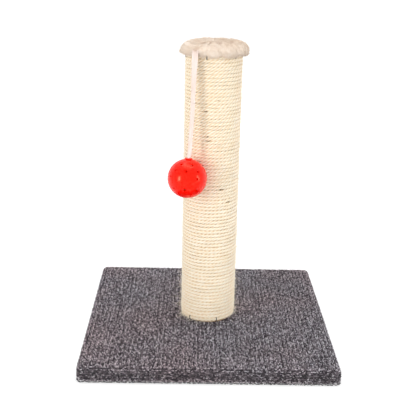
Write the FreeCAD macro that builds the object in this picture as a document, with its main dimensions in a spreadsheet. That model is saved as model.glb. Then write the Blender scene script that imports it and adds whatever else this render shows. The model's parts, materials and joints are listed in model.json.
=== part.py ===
import FreeCAD, Part
import math
import os

import Sketcher

# Cat scratching post: a square carpeted base, a rope-wound post with a plush cap, and a
# plastic ball on a strap. Millimetres, +Z up, front at -Y, origin under the base's centre.

SIZES = {
    # how far a cutting shape runs past the face that it opens
    "cut_margin": 1,
    # base
    "base_side": 300,
    "base_corner_radius": 10,
    "board_thickness": 12,
    "board_corner_radius": 6,
    "carpet_thickness": 4,
    "carpet_hem_thickness": 3,
    "carpet_hem_width": 30,
    "carpet_top_round": 5,
    "carpet_bottom_round": 2,
    "hem_staple_spacing": 70,
    # post
    "tube_diameter": 60,
    "tube_wall": 3.5,
    "tube_length": 339,
    "plug_clearance": 0.3,
    "bottom_plug_height": 30,
    "top_plug_height": 15,
    # bolt, washer and insert
    "bolt_diameter": 8,
    "bolt_length": 40,
    "bolt_head_across": 13,
    "bolt_head_height": 5.3,
    "bolt_hole_clearance": 0.25,
    "thread_clearance": 0.05,
    "washer_diameter": 24,
    "washer_thickness": 1.6,
    "counterbore_clearance": 1,
    "counterbore_depth": 6,
    "insert_diameter": 12,
    "insert_length": 22,
    # staples
    "staple_wire": 0.6,
    "staple_width": 1,
    "staple_span": 10,
    "plug_staple_reach": 10,
    "plug_staple_sink": 0.2,
    "hem_staple_height": 10,
    "hem_staple_sink": 0.4,
    "rope_staple_wire": 0.25,
    "rope_staple_width": 1,
    "rope_staple_reach": 7,
    "rope_staple_gap": 0.15,
    # rope
    "rope_diameter": 3.85,
    "rope_turn_gap": 0.45,
    "rope_seat_gap": 0.3,
    "rope_foot_gap": 0.5,
    "rope_head_gap": 0.5,
    "rope_end_gap": 0.4,
    # cap
    "padding_overhang": 3.5,
    "padding_height": 3,
    "soft_gap": 0.3,
    "cap_rope_gap": 0.85,
    "cap_wall": 6,
    "flap_drop": 6.7,
    "cap_shoulder_height": 4,
    "cap_crest_height": 9,
    "cap_crest_inset": 17,
    "cap_dip_height": 8,
    "cap_shoulder_round": 6,
    "cap_crest_round": 12,
    "flap_round": 2,
    # strap
    "hang_angle": -30,
    "strap_width": 8,
    "strap_thickness": 1.2,
    "strap_clearance": 0.3,
    "tab_root": 12,
    "tab_staple_radius": 17,
    "tab_staple_gap": 1,
    "tab_staple_reach": 8,
    "strap_upper_length": 10,
    "strap_swing": 60,
    "strap_length": 123,
    # ball
    "ball_radius": 23,
    "ball_wall": 1.5,
    "ball_rest_gap": 0.5,
    "collar_height": 1,
    "collar_wall": 1.5,
    "strap_hole_diameter": 5.6,
    "strap_roll_diameter": 5,
    "knot_radius": 5.5,
    "knot_seat_gap": 0.3,
    "seam_lip_height": 2,
    "seam_lip_thickness": 0.7,
    "seam_clearance": 0.1,
    "vent_diameter": 2.8,
    # bell
    "bell_radius": 6.5,
    "bell_wall": 0.6,
    "bell_slot": 1.6,
    "bell_gap": 0.3,
    "pellet_radius": 2,
}

# Counts of what repeats.
POST_STAPLES = 4
ROPE_STAPLES = 6
HEM_STAPLES_PER_SIDE = 4
SIDES = 4
ROPE_NODES = ("sisal_rope_bottom", "sisal_rope_lower", "sisal_rope_upper", "sisal_rope_top")

# Directions round the post are in degrees from the front, positive towards +X.
ROPE_START_ANGLE = 180
BOTTOM_STAPLE_ANGLE = 18
TOP_STAPLE_ANGLE = 45
PLUG_STAPLE_ANGLE = 22.5

# Rings of small holes in the ball: latitude, count and the first hole's longitude.
UPPER_VENTS = ((9, 4, 60), (30, 9, -15), (52, 7, -2))
LOWER_VENTS = ((-26, 9, -16), (-45, 7, 0))

# Edges are told apart by place to within this.
NEAR = 0.01

# An outline's corners start this far out, before their sizes are set.
SKETCH_SPREAD = 10

doc = FreeCAD.newDocument("scratching_post")
nodes = {}


# ---------------------------------------------------------------- sizes and bindings
sheet = doc.addObject("Spreadsheet::Sheet", "sizes")
for row, (name, number) in enumerate(SIZES.items(), start=1):
    sheet.set("A%d" % row, name)
    sheet.set("B%d" % row, str(number))
    sheet.setAlias("B%d" % row, name)
doc.recompute()


def size(name):
    """The number that the sheet holds for a size."""
    return float(sheet.get(name))


def formula(text):
    """Write a formula in size names as an expression on the sheet."""
    words = []
    for word in str(text).split():
        words.append("sizes." + word if word in SIZES else word)
    return " ".join(words)


def bind(item, **formulas):
    """Bind properties of an object to formulas in the sizes."""
    for name, text in formulas.items():
        item.setExpression(name, formula(text))
    return item


def keep(node, item):
    """Make an object a sub-part, under the node's name."""
    item.Label = node
    nodes[node] = item
    return item


# ------------------------------------------------------------------- building blocks
def new_body(name):
    body = doc.addObject("PartDesign::Body", name)
    body.AllowCompound = True
    return body


def origin_feature(body, role):
    return next(item for item in body.Origin.OriginFeatures if item.Role == role)


def new_sketch(body, role):
    sketch = body.newObject("Sketcher::SketchObject", body.Name + "_outline")
    sketch.AttachmentSupport = [(origin_feature(body, role), "")]
    sketch.MapMode = "FlatFace"
    return sketch


def draw(sketch, corners):
    """Add a closed outline whose corners are pairs of formulas."""
    first = sketch.GeometryCount
    count = len(corners)
    spots = []
    for index in range(count):
        turn = 2 * math.pi * index / count
        across, along = SKETCH_SPREAD * math.cos(turn), SKETCH_SPREAD * math.sin(turn)
        spots.append(FreeCAD.Vector(across, along, 0))
    rules = []
    for index in range(count):
        following = (index + 1) % count
        sketch.addGeometry(Part.LineSegment(spots[index], spots[following]), False)
        rules.append(Sketcher.Constraint("Coincident", first + index, 2, first + following, 1))
    sketch.addConstraint(rules)
    for index, corner in enumerate(corners):
        for kind, place, text in zip(("DistanceX", "DistanceY"), spots[index], corner):
            rule = Sketcher.Constraint(kind, -1, 1, first + index, 1, place)
            number = sketch.addConstraint(rule)
            sketch.setExpression("Constraints[%d]" % number, formula(text))


def turned_body(name, corners):
    """A body revolved about Z from corners given as radius and height."""
    body = new_body(name)
    sketch = new_sketch(body, "XZ_Plane")
    draw(sketch, corners)
    turn = body.newObject("PartDesign::Revolution", name + "_turn")
    turn.Profile = sketch
    turn.ReferenceAxis = (sketch, ["V_Axis"])
    turn.Angle = 360
    return body


def plate_body(name, side, low, high):
    """A square plate centred on Z between two heights."""
    body = new_body(name)
    sketch = new_sketch(body, "XY_Plane")
    bind(sketch, **{"AttachmentOffset.Base.z": low})
    minus, plus = "0 - ( %s ) / 2" % side, "( %s ) / 2" % side
    draw(sketch, ((minus, minus), (plus, minus), (plus, plus), (minus, plus)))
    pad = body.newObject("PartDesign::Pad", name + "_pad")
    pad.Profile = sketch
    bind(pad, Length="( %s ) - ( %s )" % (high, low))
    return body


def round_edges(body, wanted, radius):
    """Fillet the edges of the body's tip that a test picks."""
    doc.recompute()
    base = body.Tip
    names = []
    for number, edge in enumerate(base.Shape.Edges, start=1):
        if wanted(edge):
            names.append("Edge%d" % number)
    fillet = body.newObject("PartDesign::Fillet", body.Name + "_round")
    fillet.Base = (base, names)
    bind(fillet, Radius=radius)
    return fillet


def is_upright(edge):
    box = edge.BoundBox
    return box.ZLength > NEAR and box.XLength < NEAR and box.YLength < NEAR


def level_test(height, least_radius=0):
    """A test for edges that lie level at a height, at least that far out."""
    def wanted(edge):
        box = edge.BoundBox
        reach = max(abs(box.XMin), abs(box.XMax), abs(box.YMin), abs(box.YMax))
        return box.ZLength < NEAR and abs(box.ZMin - height) < NEAR and reach > least_radius
    return wanted


def cylinder(name, radius, low, high):
    item = doc.addObject("Part::Cylinder", name)
    bind(item, Radius=radius, Height="( %s ) - ( %s )" % (high, low))
    return bind(item, **{"Placement.Base.z": low})


def box(name, across, along, up):
    """A box from three pairs of formulas: low and high in X, Y and Z."""
    item = doc.addObject("Part::Box", name)
    for edge, letter, (low, high) in zip(("Length", "Width", "Height"), "xyz", (across, along, up)):
        bind(item, **{edge: "( %s ) - ( %s )" % (high, low), "Placement.Base." + letter: low})
    return item


def ball(name, radius, lowest=-90, highest=90):
    item = doc.addObject("Part::Sphere", name)
    item.Angle1 = lowest
    item.Angle2 = highest
    return bind(item, Radius=radius)


def cut(name, base, *tools):
    item = doc.addObject("Part::Cut", name)
    item.Base = base
    item.Tool = tools[0] if len(tools) == 1 else gather(name + "_tools", *tools)
    return item


def fuse(name, *shapes):
    item = doc.addObject("Part::MultiFuse", name)
    item.Shapes = list(shapes)
    return item


def gather(name, *shapes):
    item = doc.addObject("Part::Compound", name)
    item.Links = list(shapes)
    return item


def solids_feature(node, solids):
    """A sub-part set from solids that are worked out turn by turn."""
    item = doc.addObject("Part::Feature", node)
    item.Shape = Part.makeCompound(solids) if len(solids) > 1 else solids[0]
    item.Placement = FreeCAD.Placement()
    return keep(node, item)


def repeat_round(body, feature, count):
    """Repeat a feature evenly about Z and make the result the body's tip."""
    pattern = body.newObject("PartDesign::PolarPattern", body.Name + "_pattern")
    pattern.Originals = [feature]
    pattern.Axis = (origin_feature(body, "Z_Axis"), [""])
    pattern.Angle = 360
    pattern.Occurrences = count
    body.Tip = pattern


def about_z(degrees):
    return FreeCAD.Rotation(FreeCAD.Vector(0, 0, 1), degrees)


# ------------------------------------------------------------------- derived formulas
BASE_TOP = "carpet_hem_thickness + board_thickness + carpet_thickness"
BOARD_LOW = "carpet_hem_thickness"
BOARD_HIGH = "carpet_hem_thickness + board_thickness"
BOARD_SIDE = "base_side - 2 * carpet_thickness"
WINDOW_SIDE = "base_side - 2 * carpet_thickness - 2 * carpet_hem_width"
HEM_MIDDLE = "base_side / 2 - carpet_thickness - carpet_hem_width / 2"
BOLT_HOLE = "bolt_diameter / 2 + bolt_hole_clearance"
SEAT_HEIGHT = "carpet_hem_thickness + counterbore_depth"
HEAD_HEIGHT = "carpet_hem_thickness + counterbore_depth - washer_thickness"
INSERT_TOP = BASE_TOP + " + insert_length"
TUBE_RADIUS = "tube_diameter / 2"
PLUG_RADIUS = "tube_diameter / 2 - tube_wall - plug_clearance"
TUBE_TOP = BASE_TOP + " + tube_length"
BOTTOM_PLUG_TOP = BASE_TOP + " + bottom_plug_height"
TOP_PLUG_LOW = TUBE_TOP + " - top_plug_height"
ROPE_OUTER = "tube_diameter / 2 + rope_seat_gap + rope_diameter"
FLAP_INNER = ROPE_OUTER + " + cap_rope_gap"
CAP_RADIUS = FLAP_INNER + " + cap_wall"
PADDING_RADIUS = "tube_diameter / 2 + padding_overhang"
PADDING_LOW = TUBE_TOP + " + soft_gap"
PADDING_TOP = PADDING_LOW + " + padding_height"
CAP_INNER_TOP = PADDING_TOP + " + soft_gap"
TAB_TOP = TUBE_TOP + " + strap_thickness"
BALL_BORE = "ball_radius - ball_wall"
base_top = size("carpet_hem_thickness") + size("board_thickness") + size("carpet_thickness")


# ------------------------------------------------------------------------------ base
def staple_rows(name, sink):
    """Rows of staples under the base's edges, crowns down, standing in the board."""
    body = new_body(name)
    sketch = new_sketch(body, "XZ_Plane")
    bind(sketch, **{"AttachmentOffset.Base.z": HEM_MIDDLE})
    for number in range(HEM_STAPLES_PER_SIDE):
        step = number - (HEM_STAPLES_PER_SIDE - 1) / 2
        left = "%s * hem_staple_spacing - staple_span / 2" % step
        right = "%s * hem_staple_spacing + staple_span / 2" % step
        top = "hem_staple_sink + hem_staple_height"
        crown_top = "hem_staple_sink + staple_wire"
        draw(sketch, (
            (left, sink), (right, sink), (right, top), (right + " - staple_wire", top),
            (right + " - staple_wire", crown_top), (left + " + staple_wire", crown_top),
            (left + " + staple_wire", top), (left, top)))
    pad = body.newObject("PartDesign::Pad", name + "_pad")
    pad.Profile = sketch
    pad.Midplane = True
    bind(pad, Length="staple_width")
    repeat_round(body, pad, SIDES)
    return body


def make_base():
    carpet_staples = keep("carpet_staples", staple_rows("hem_staples", "hem_staple_sink"))
    staple_dents = staple_rows("hem_staple_dents", "0 - hem_staple_sink")

    board_blank = plate_body("board_blank", BOARD_SIDE, BOARD_LOW, BOARD_HIGH)
    round_edges(board_blank, is_upright, "board_corner_radius")
    bolt_hole = cylinder("board_bolt_hole", BOLT_HOLE, "0", BASE_TOP + " + cut_margin")
    counterbore_radius = "washer_diameter / 2 + counterbore_clearance"
    counterbore = cylinder("board_counterbore", counterbore_radius, "0", SEAT_HEIGHT)
    keep("base_board", cut("board", board_blank, bolt_hole, counterbore, carpet_staples))

    cover_blank = plate_body("cover_blank", "base_side", "0", BASE_TOP)
    round_edges(cover_blank, is_upright, "base_corner_radius")
    round_edges(cover_blank, level_test(base_top), "carpet_top_round")
    round_edges(cover_blank, level_test(0), "carpet_bottom_round")
    half_window = "( %s ) / 2" % WINDOW_SIDE
    sides = ("0 - " + half_window, half_window)
    window = box("hem_window", sides, sides, ("0 - cut_margin", BOARD_LOW + " + cut_margin"))
    keep("carpet_cover", cut("cover", cover_blank, board_blank, window, bolt_hole, staple_dents))


# -------------------------------------------------------------------------- fastening
def make_fastening():
    head = doc.addObject("Part::Prism", "bolt_head")
    head.Polygon = 6
    bind(head, Circumradius="bolt_head_across / sqrt(3)", Height="bolt_head_height")
    bind(head, **{"Placement.Base.z": HEAD_HEIGHT + " - bolt_head_height"})

    shank = cylinder("bolt_shank", "bolt_diameter / 2", HEAD_HEIGHT + " - bolt_head_height / 2",
                     HEAD_HEIGHT + " + bolt_length")
    keep("post_bolt", fuse("bolt", head, shank))

    keep("bolt_washer", turned_body("washer", (
        (BOLT_HOLE, HEAD_HEIGHT), ("washer_diameter / 2", HEAD_HEIGHT),
        ("washer_diameter / 2", SEAT_HEIGHT), (BOLT_HOLE, SEAT_HEIGHT))))

    thread = "bolt_diameter / 2 + thread_clearance"
    keep("threaded_insert", turned_body("insert", (
        (thread, BASE_TOP), ("insert_diameter / 2", BASE_TOP),
        ("insert_diameter / 2", INSERT_TOP), (thread, INSERT_TOP))))


# ------------------------------------------------------------------------------- post
def plug_staples(name, middle):
    """Upright staples through the tube's wall into a plug, crowns flush in the wall."""
    body = new_body(name)
    sketch = new_sketch(body, "XZ_Plane")
    outer = TUBE_RADIUS + " - plug_staple_sink"
    crown = outer + " - staple_wire"
    inner = outer + " - plug_staple_reach"
    low, high = middle + " - staple_span / 2", middle + " + staple_span / 2"
    draw(sketch, (
        (outer, low), (outer, high), (inner, high), (inner, high + " - staple_wire"),
        (crown, high + " - staple_wire"), (crown, low + " + staple_wire"),
        (inner, low + " + staple_wire"), (inner, low)))
    pad = body.newObject("PartDesign::Pad", name + "_pad")
    pad.Profile = sketch
    pad.Midplane = True
    bind(pad, Length="staple_width")
    repeat_round(body, pad, POST_STAPLES)
    body.Placement = FreeCAD.Placement(FreeCAD.Vector(), about_z(PLUG_STAPLE_ANGLE))
    return body


def make_post(rope_staples):
    """The tube and its bottom plug, with the staples of both plugs."""
    low_staples = keep("bottom_plug_staples",
                       plug_staples("low_staples", BASE_TOP + " + bottom_plug_height / 2"))
    high_staples = keep("top_plug_staples",
                        plug_staples("high_staples", TUBE_TOP + " - top_plug_height / 2"))

    low_plug = turned_body("low_plug", (
        (BOLT_HOLE, BOTTOM_PLUG_TOP), (PLUG_RADIUS, BOTTOM_PLUG_TOP), (PLUG_RADIUS, BASE_TOP),
        ("insert_diameter / 2", BASE_TOP), ("insert_diameter / 2", INSERT_TOP),
        (BOLT_HOLE, INSERT_TOP)))
    keep("bottom_plug", cut("low_plug_cut", low_plug, low_staples))

    tube = turned_body("tube", (
        (TUBE_RADIUS + " - tube_wall", BASE_TOP), (TUBE_RADIUS, BASE_TOP),
        (TUBE_RADIUS, TUBE_TOP), (TUBE_RADIUS + " - tube_wall", TUBE_TOP)))
    keep("post_tube", cut("tube_cut", tube, low_staples, high_staples, *rope_staples))
    return high_staples


def make_top_plug(high_staples, strap_staple):
    blank = turned_body("high_plug", (
        ("0", TOP_PLUG_LOW), (PLUG_RADIUS, TOP_PLUG_LOW), (PLUG_RADIUS, TUBE_TOP),
        ("0", TUBE_TOP)))
    keep("top_plug", cut("high_plug_cut", blank, high_staples, strap_staple))


# ------------------------------------------------------------------------------- rope
rope_radius = size("rope_diameter") / 2
rope_pitch = size("rope_diameter") + size("rope_turn_gap")
rope_circle = size("tube_diameter") / 2 + size("rope_seat_gap") + rope_radius
cap_radius = rope_circle + rope_radius + size("cap_rope_gap") + size("cap_wall")
rope_start = base_top + size("rope_foot_gap") + rope_radius
rope_end = base_top + size("tube_length") - size("rope_head_gap") - rope_radius
rope_half_turns = int(2 * (rope_end - rope_start) / rope_pitch)
top_staple_turn = rope_half_turns // 2 - 1


def wound_point(turned):
    """The rope's centre line, the angle turned from its start being in radians."""
    angle = math.radians(ROPE_START_ANGLE) + turned
    height = rope_start + rope_pitch * turned / (2 * math.pi)
    return FreeCAD.Vector(rope_circle * math.sin(angle), -rope_circle * math.cos(angle), height)


def wound_direction(turned):
    angle = math.radians(ROPE_START_ANGLE) + turned
    rise = rope_pitch / (2 * math.pi)
    return FreeCAD.Vector(
        rope_circle * math.cos(angle), rope_circle * math.sin(angle), rise).normalize()


def biarc(start, end, start_direction, end_direction):
    """Two arcs that join two points, tangent to each other and to a direction at each end."""
    span = end - start
    both = start_direction + end_direction
    spread = 2 * (1 - start_direction.dot(end_direction))
    reach = -span.dot(both) + math.sqrt(span.dot(both) ** 2 + spread * span.dot(span))
    arm = reach / spread
    middle = (start + end + (start_direction - end_direction) * arm) * 0.5
    middle_direction = (end - end_direction * arm) - (start + start_direction * arm)
    middle_direction.normalize()
    first = arc_from(start, start_direction, middle)
    second = arc_from(middle, middle_direction, end)
    return first, second


def arc_from(start, direction, end):
    """The arc from one point to another that leaves the first along a direction."""
    chord = end - start
    side = (chord - direction * chord.dot(direction)).normalize()
    radius = chord.dot(chord) / (2 * chord.dot(side))
    centre = start + side * radius
    halfway = ((start - centre) + (end - centre)).normalize() * radius + centre
    return Part.Arc(start, halfway, end).toShape()


def rope_length(first_turned, half_turns):
    """One length of rope as its path and its solid, with a straight run at each end."""
    run = size("rope_diameter")
    last_turned = first_turned + math.pi * half_turns
    start, end = wound_point(first_turned), wound_point(last_turned)
    entry, leaving = wound_direction(first_turned), wound_direction(last_turned)
    edges = [Part.LineSegment(start - entry * run, start).toShape()]
    for number in range(half_turns):
        here = first_turned + math.pi * number
        there = here + math.pi
        edges.extend(biarc(wound_point(here), wound_point(there),
                           wound_direction(here), wound_direction(there)))
    edges.append(Part.LineSegment(end, end + leaving * run).toShape())
    path = Part.Wire(edges)
    ring = Part.Wire([Part.Circle(start - entry * run, entry, rope_radius).toShape()])
    solid = path.makePipeShell([ring], True, False)
    return path, solid


def least_gap(path):
    """The least clear space between neighbouring turns, measured on points of the path."""
    per_turn = 72
    circumference = 2 * math.pi * rope_circle
    count = int(per_turn * path.Length / circumference)
    points = path.discretize(Number=count)
    least = circumference
    for index, point in enumerate(points):
        nearest = index + per_turn // 2
        for other in points[nearest:nearest + per_turn]:
            least = min(least, point.distanceToPoint(other))
    return least - size("rope_diameter")


def shared_half_turns():
    """The half turns of each length of rope: whole turns, with what is left over in the last."""
    others = len(ROPE_NODES) - 1
    even = 2 * (rope_half_turns // (2 * len(ROPE_NODES)))
    return [even] * others + [rope_half_turns - even * others]


def make_rope():
    joint_angle = 2 * math.atan((size("rope_diameter") + size("rope_end_gap")) / rope_circle)
    paths = []
    turned = 0
    for node, half_turns in zip(ROPE_NODES, shared_half_turns()):
        path, solid = rope_length(turned, half_turns)
        section = math.pi * rope_radius ** 2
        print("%s: %.0f mm of rope, volume over section times length %.4f, least gap %.3f mm" % (
            node, path.Length, solid.Volume / (section * path.Length), least_gap(path)))
        solids_feature(node, [solid])
        paths.append(path)
        turned += math.pi * half_turns + joint_angle
    return paths


def rope_height(path, turned):
    """The height of a rope's centre line where it has turned by an angle."""
    spot = wound_point(turned)
    up = FreeCAD.Vector(0, 0, rope_pitch / 2)
    upright = Part.makeLine(spot - up, spot + up)
    distance, pairs, where = path.distToShape(upright)
    return pairs[0][0].z


def rope_staple(path, degrees, whole_turns):
    """A fine upright staple over one turn of the rope, its legs between the turns."""
    wire, width = size("rope_staple_wire"), size("rope_staple_width")
    middle = rope_height(path, 2 * math.pi * whole_turns + math.radians(degrees))
    inner = rope_circle + rope_radius + size("rope_staple_gap")
    reach = size("rope_staple_reach")
    half = rope_pitch / 2 + wire / 2
    crown = Part.makeBox(wire, width, 2 * half, FreeCAD.Vector(inner, -width / 2, -half))
    legs = []
    for low in (-half, half - wire):
        legs.append(Part.makeBox(reach + wire, width, wire,
                                 FreeCAD.Vector(inner - reach, -width / 2, low)))
    staple = crown.multiFuse(legs).removeSplitter()
    staple.rotate(FreeCAD.Vector(), FreeCAD.Vector(0, 0, 1), ROPE_START_ANGLE + degrees - 90)
    staple.translate(FreeCAD.Vector(0, 0, middle))
    return staple.Solids[0]


def rope_staple_ring(node, path, first_degrees, whole_turns):
    staples = []
    for number in range(ROPE_STAPLES):
        degrees = first_degrees + number * 360 / ROPE_STAPLES
        staples.append(rope_staple(path, degrees, whole_turns))
    return solids_feature(node, staples)


# -------------------------------------------------------------------------------- cap
def make_cap(tab_channel, staple_channel, tab_notch):
    padding = turned_body("padding", (
        ("0", PADDING_LOW), (PADDING_RADIUS, PADDING_LOW), (PADDING_RADIUS, PADDING_TOP),
        ("0", PADDING_TOP)))
    keep("cap_padding", cut("padding_cut", padding, tab_channel, staple_channel))

    flap_low = TUBE_TOP + " - flap_drop"
    plush = turned_body("plush", (
        ("0", CAP_INNER_TOP), (FLAP_INNER, CAP_INNER_TOP), (FLAP_INNER, flap_low),
        (CAP_RADIUS, flap_low), (CAP_RADIUS, TUBE_TOP + " + cap_shoulder_height"),
        (CAP_RADIUS + " - cap_crest_inset", TUBE_TOP + " + cap_crest_height"),
        ("0", TUBE_TOP + " + cap_dip_height")))
    tube_top = base_top + size("tube_length")
    outside = cap_radius - NEAR
    round_edges(plush, level_test(tube_top - size("flap_drop"), outside), "flap_round")
    shoulder = tube_top + size("cap_shoulder_height")
    round_edges(plush, level_test(shoulder, outside), "cap_shoulder_round")
    crest = tube_top + size("cap_crest_height")
    round_edges(plush, level_test(crest), "cap_crest_round")
    keep("plush_cap", cut("plush_cut", plush, tab_notch))


# ------------------------------------------------------------------------------ strap
# The strap hangs in the upright plane through the post's axis at the hang angle. Its own
# frame has its origin where the strap leaves the cap: X is its width, -Y is outwards and
# -Z is down the strap. The ball's frame is the same one, moved down to the ball's centre.
hang_radius = cap_radius + size("strap_clearance") + size("strap_thickness") / 2
hang_height = base_top + size("tube_length") + size("strap_thickness") - size("strap_clearance")
hang_length = size("strap_length") + size("collar_height") + size("ball_radius")
ball_distance = rope_circle + rope_radius + size("ball_rest_gap") + size("ball_radius")
hang_tilt = math.degrees(math.asin((ball_distance - hang_radius) / hang_length))
turn_to_plane = about_z(size("hang_angle"))
turn_to_strap = turn_to_plane.multiply(FreeCAD.Rotation(FreeCAD.Vector(1, 0, 0), -hang_tilt))
hang_point = turn_to_plane.multVec(FreeCAD.Vector(0, -hang_radius, hang_height))
ball_centre = hang_point + turn_to_strap.multVec(FreeCAD.Vector(0, 0, -hang_length))
ACROSS = ("0 - strap_width / 2", "strap_width / 2")
THICK = ("0 - strap_thickness / 2", "strap_thickness / 2")


def in_plane(item):
    """Turn what was drawn at the front of the post to the strap's side."""
    item.Placement = FreeCAD.Placement(FreeCAD.Vector(), turn_to_plane)
    return item


def on_strap(item):
    item.Placement = FreeCAD.Placement(hang_point, turn_to_strap)
    return item


def at_ball(item):
    item.Placement = FreeCAD.Placement(ball_centre, turn_to_strap)
    return item


def grown(limits, by):
    return ("%s - %s" % (limits[0], by), "%s + %s" % (limits[1], by))


def make_tab():
    """The strap's fixed end on the top plug, its staple, and the room that both need."""
    reach = ("0 - ( %s )" % CAP_RADIUS, "0 - tab_root")
    thick = (TUBE_TOP, TAB_TOP)
    keep("strap_tab", in_plane(gather("tab", box("tab_band", ACROSS, reach, thick))))

    leg_in = "strap_width / 2 + tab_staple_gap"
    leg_out = leg_in + " + staple_wire"
    middle = grown(("0 - tab_staple_radius", "0 - tab_staple_radius"), "staple_width / 2")
    crown_limits = ("0 - ( %s )" % leg_out, leg_out)
    crown_heights = (TAB_TOP, TAB_TOP + " + staple_wire")
    crown = box("tab_staple_crown", crown_limits, middle, crown_heights)
    legs = (TUBE_TOP + " - tab_staple_reach", TAB_TOP + " + staple_wire")
    left = box("tab_staple_left", ("0 - ( %s )" % leg_out, "0 - ( %s )" % leg_in), middle, legs)
    right = box("tab_staple_right", (leg_in, leg_out), middle, legs)
    staple = keep("strap_staple", in_plane(fuse("tab_staple", crown, left, right)))

    below = TUBE_TOP + " - soft_gap"
    above = TAB_TOP + " + soft_gap"
    wide = grown(ACROSS, "soft_gap")
    channel_box = box("tab_channel_box", wide, grown(reach, "soft_gap"), (below, above))
    channel = in_plane(gather("tab_channel", channel_box))
    staple_box = box("staple_channel_box", grown(crown_limits, "soft_gap"),
                     grown(middle, "soft_gap"), (below, crown_heights[1] + " + soft_gap"))
    staple_channel = in_plane(gather("staple_channel", staple_box))
    notch_reach = ("0 - ( %s ) - cut_margin" % CAP_RADIUS, "0 - ( %s )" % PADDING_RADIUS)
    notch = in_plane(gather("tab_notch", box("tab_notch_box", wide, notch_reach, (below, above))))
    return staple, channel, staple_channel, notch


def make_strap():
    hinge = "0 - strap_upper_length"
    swing_room = "strap_width / 2 / cos( strap_swing / 2 ) + strap_clearance"
    band = box("upper_band", ACROSS, THICK, (hinge, "0"))
    room = pivot_disc("upper_room", swing_room, 2 * size("strap_thickness"))
    keep("strap_upper", on_strap(cut("upper_cut", band, room)))

    rest = box("lower_band", ACROSS, THICK, ("strap_clearance - strap_length", hinge))
    knuckle = pivot_disc("lower_knuckle", "strap_width / 2", size("strap_thickness"))
    keep("strap_lower", on_strap(fuse("lower", rest, knuckle)))


def pivot_disc(name, radius, length):
    """A disc across the strap's thickness, centred on the sideways pivot."""
    disc = doc.addObject("Part::Cylinder", name)
    bind(disc, Radius=radius)
    disc.Height = length
    middle = FreeCAD.Vector(0, length / 2, -size("strap_upper_length"))
    disc.Placement = FreeCAD.Placement(middle, FreeCAD.Rotation(FreeCAD.Vector(1, 0, 0), 90))
    return disc


def make_knot():
    bore = size("ball_radius") - size("ball_wall")
    hole = size("strap_hole_diameter") / 2
    bore_at_hole = math.sqrt(bore ** 2 - hole ** 2)
    knot_at_hole = math.sqrt(size("knot_radius") ** 2 - hole ** 2)
    knot_height = bore_at_hole - size("knot_seat_gap") - knot_at_hole
    knot = ball("knot_ball", "knot_radius")
    knot.Placement.Base = FreeCAD.Vector(0, 0, knot_height)
    roll = cylinder("knot_roll", "strap_roll_diameter / 2", str(knot_height),
                    "ball_radius + collar_height")
    keep("strap_knot", at_ball(fuse("knot", knot, roll)))


# ------------------------------------------------------------------------------- ball
def drill(name, rings):
    """Radial drills for rings of small holes."""
    bore = size("ball_radius") - size("ball_wall")
    drills = []
    for latitude, count, first in rings:
        for number in range(int(count)):
            item = doc.addObject("Part::Cylinder", "%s_%d" % (name, len(drills) + 1))
            bind(item, Radius="vent_diameter / 2", Height="ball_wall + 2 * cut_margin")
            longitude = first + 360 * number / count
            tip = FreeCAD.Rotation(FreeCAD.Vector(1, 0, 0), 90 - latitude)
            aim = about_z(longitude).multiply(tip)
            start = aim.multVec(FreeCAD.Vector(0, 0, bore - size("cut_margin")))
            item.Placement = FreeCAD.Placement(start, aim)
            drills.append(item)
    return gather(name, *drills)


def make_ball():
    lip_outer = BALL_BORE + " + seam_lip_thickness"
    outer = ball("upper_outer", "ball_radius", 0, 90)
    collar = cylinder("collar", "strap_hole_diameter / 2 + collar_wall",
                      "ball_radius - ball_wall", "ball_radius + collar_height")
    shell = fuse("upper_solid", outer, collar)
    bore = ball("ball_bore", BALL_BORE)
    strap_hole = cylinder("strap_hole", "strap_hole_diameter / 2", "0",
                          "ball_radius + collar_height + cut_margin")
    recess = cylinder("seam_recess", lip_outer + " + seam_clearance", "0 - cut_margin",
                      "seam_lip_height + seam_clearance")
    hollow = cut("upper_hollow", shell, fuse("upper_room", bore, strap_hole, recess))
    keep("ball_upper_half", at_ball(cut("upper_half", hollow, drill("upper_vent", UPPER_VENTS))))

    under = ball("lower_outer", "ball_radius", -90, 0)
    lip = cylinder("seam_lip", lip_outer, "0 - seam_lip_height / 2", "seam_lip_height")
    low_shell = fuse("lower_solid", under, lip)
    low_hollow = cut("lower_hollow", low_shell, bore)
    keep("ball_lower_half", at_ball(cut("lower_half", low_hollow, drill("lower_vent", LOWER_VENTS))))


def make_bell():
    bell_drop = size("ball_radius") - size("ball_wall") - size("bell_gap") - size("bell_radius")
    pellet_drop = bell_drop + size("bell_radius") - size("bell_wall")
    pellet_drop -= size("bell_gap") + size("pellet_radius")
    shell = cut("bell_shell", ball("bell_outer", "bell_radius"),
                ball("bell_bore", "bell_radius - bell_wall"),
                box("bell_slot_box", grown(("0 - bell_radius", "bell_radius"), "cut_margin"),
                    ("0 - bell_slot / 2", "bell_slot / 2"),
                    ("0 - bell_radius - cut_margin", "0 - bell_radius / 2")))
    low = turn_to_strap.multVec(FreeCAD.Vector(0, 0, -bell_drop))
    shell.Placement = FreeCAD.Placement(ball_centre + low, turn_to_strap)
    keep("jingle_bell", shell)
    pellet = ball("pellet", "pellet_radius")
    pellet.Placement.Base = ball_centre + turn_to_strap.multVec(FreeCAD.Vector(0, 0, -pellet_drop))
    keep("bell_pellet", pellet)


# --------------------------------------------------------------------------- assembly
make_base()
make_fastening()
rope_paths = make_rope()
rope_staples = (
    rope_staple_ring("rope_staples_bottom", rope_paths[0], BOTTOM_STAPLE_ANGLE, 0),
    rope_staple_ring("rope_staples_top", rope_paths[-1], TOP_STAPLE_ANGLE, top_staple_turn),
)
upper_plug_staples = make_post(rope_staples)
strap_staple, tab_channel, staple_channel, tab_notch = make_tab()
make_top_plug(upper_plug_staples, strap_staple)
make_cap(tab_channel, staple_channel, tab_notch)
make_strap()
make_knot()
make_ball()
make_bell()
doc.recompute()

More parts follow.
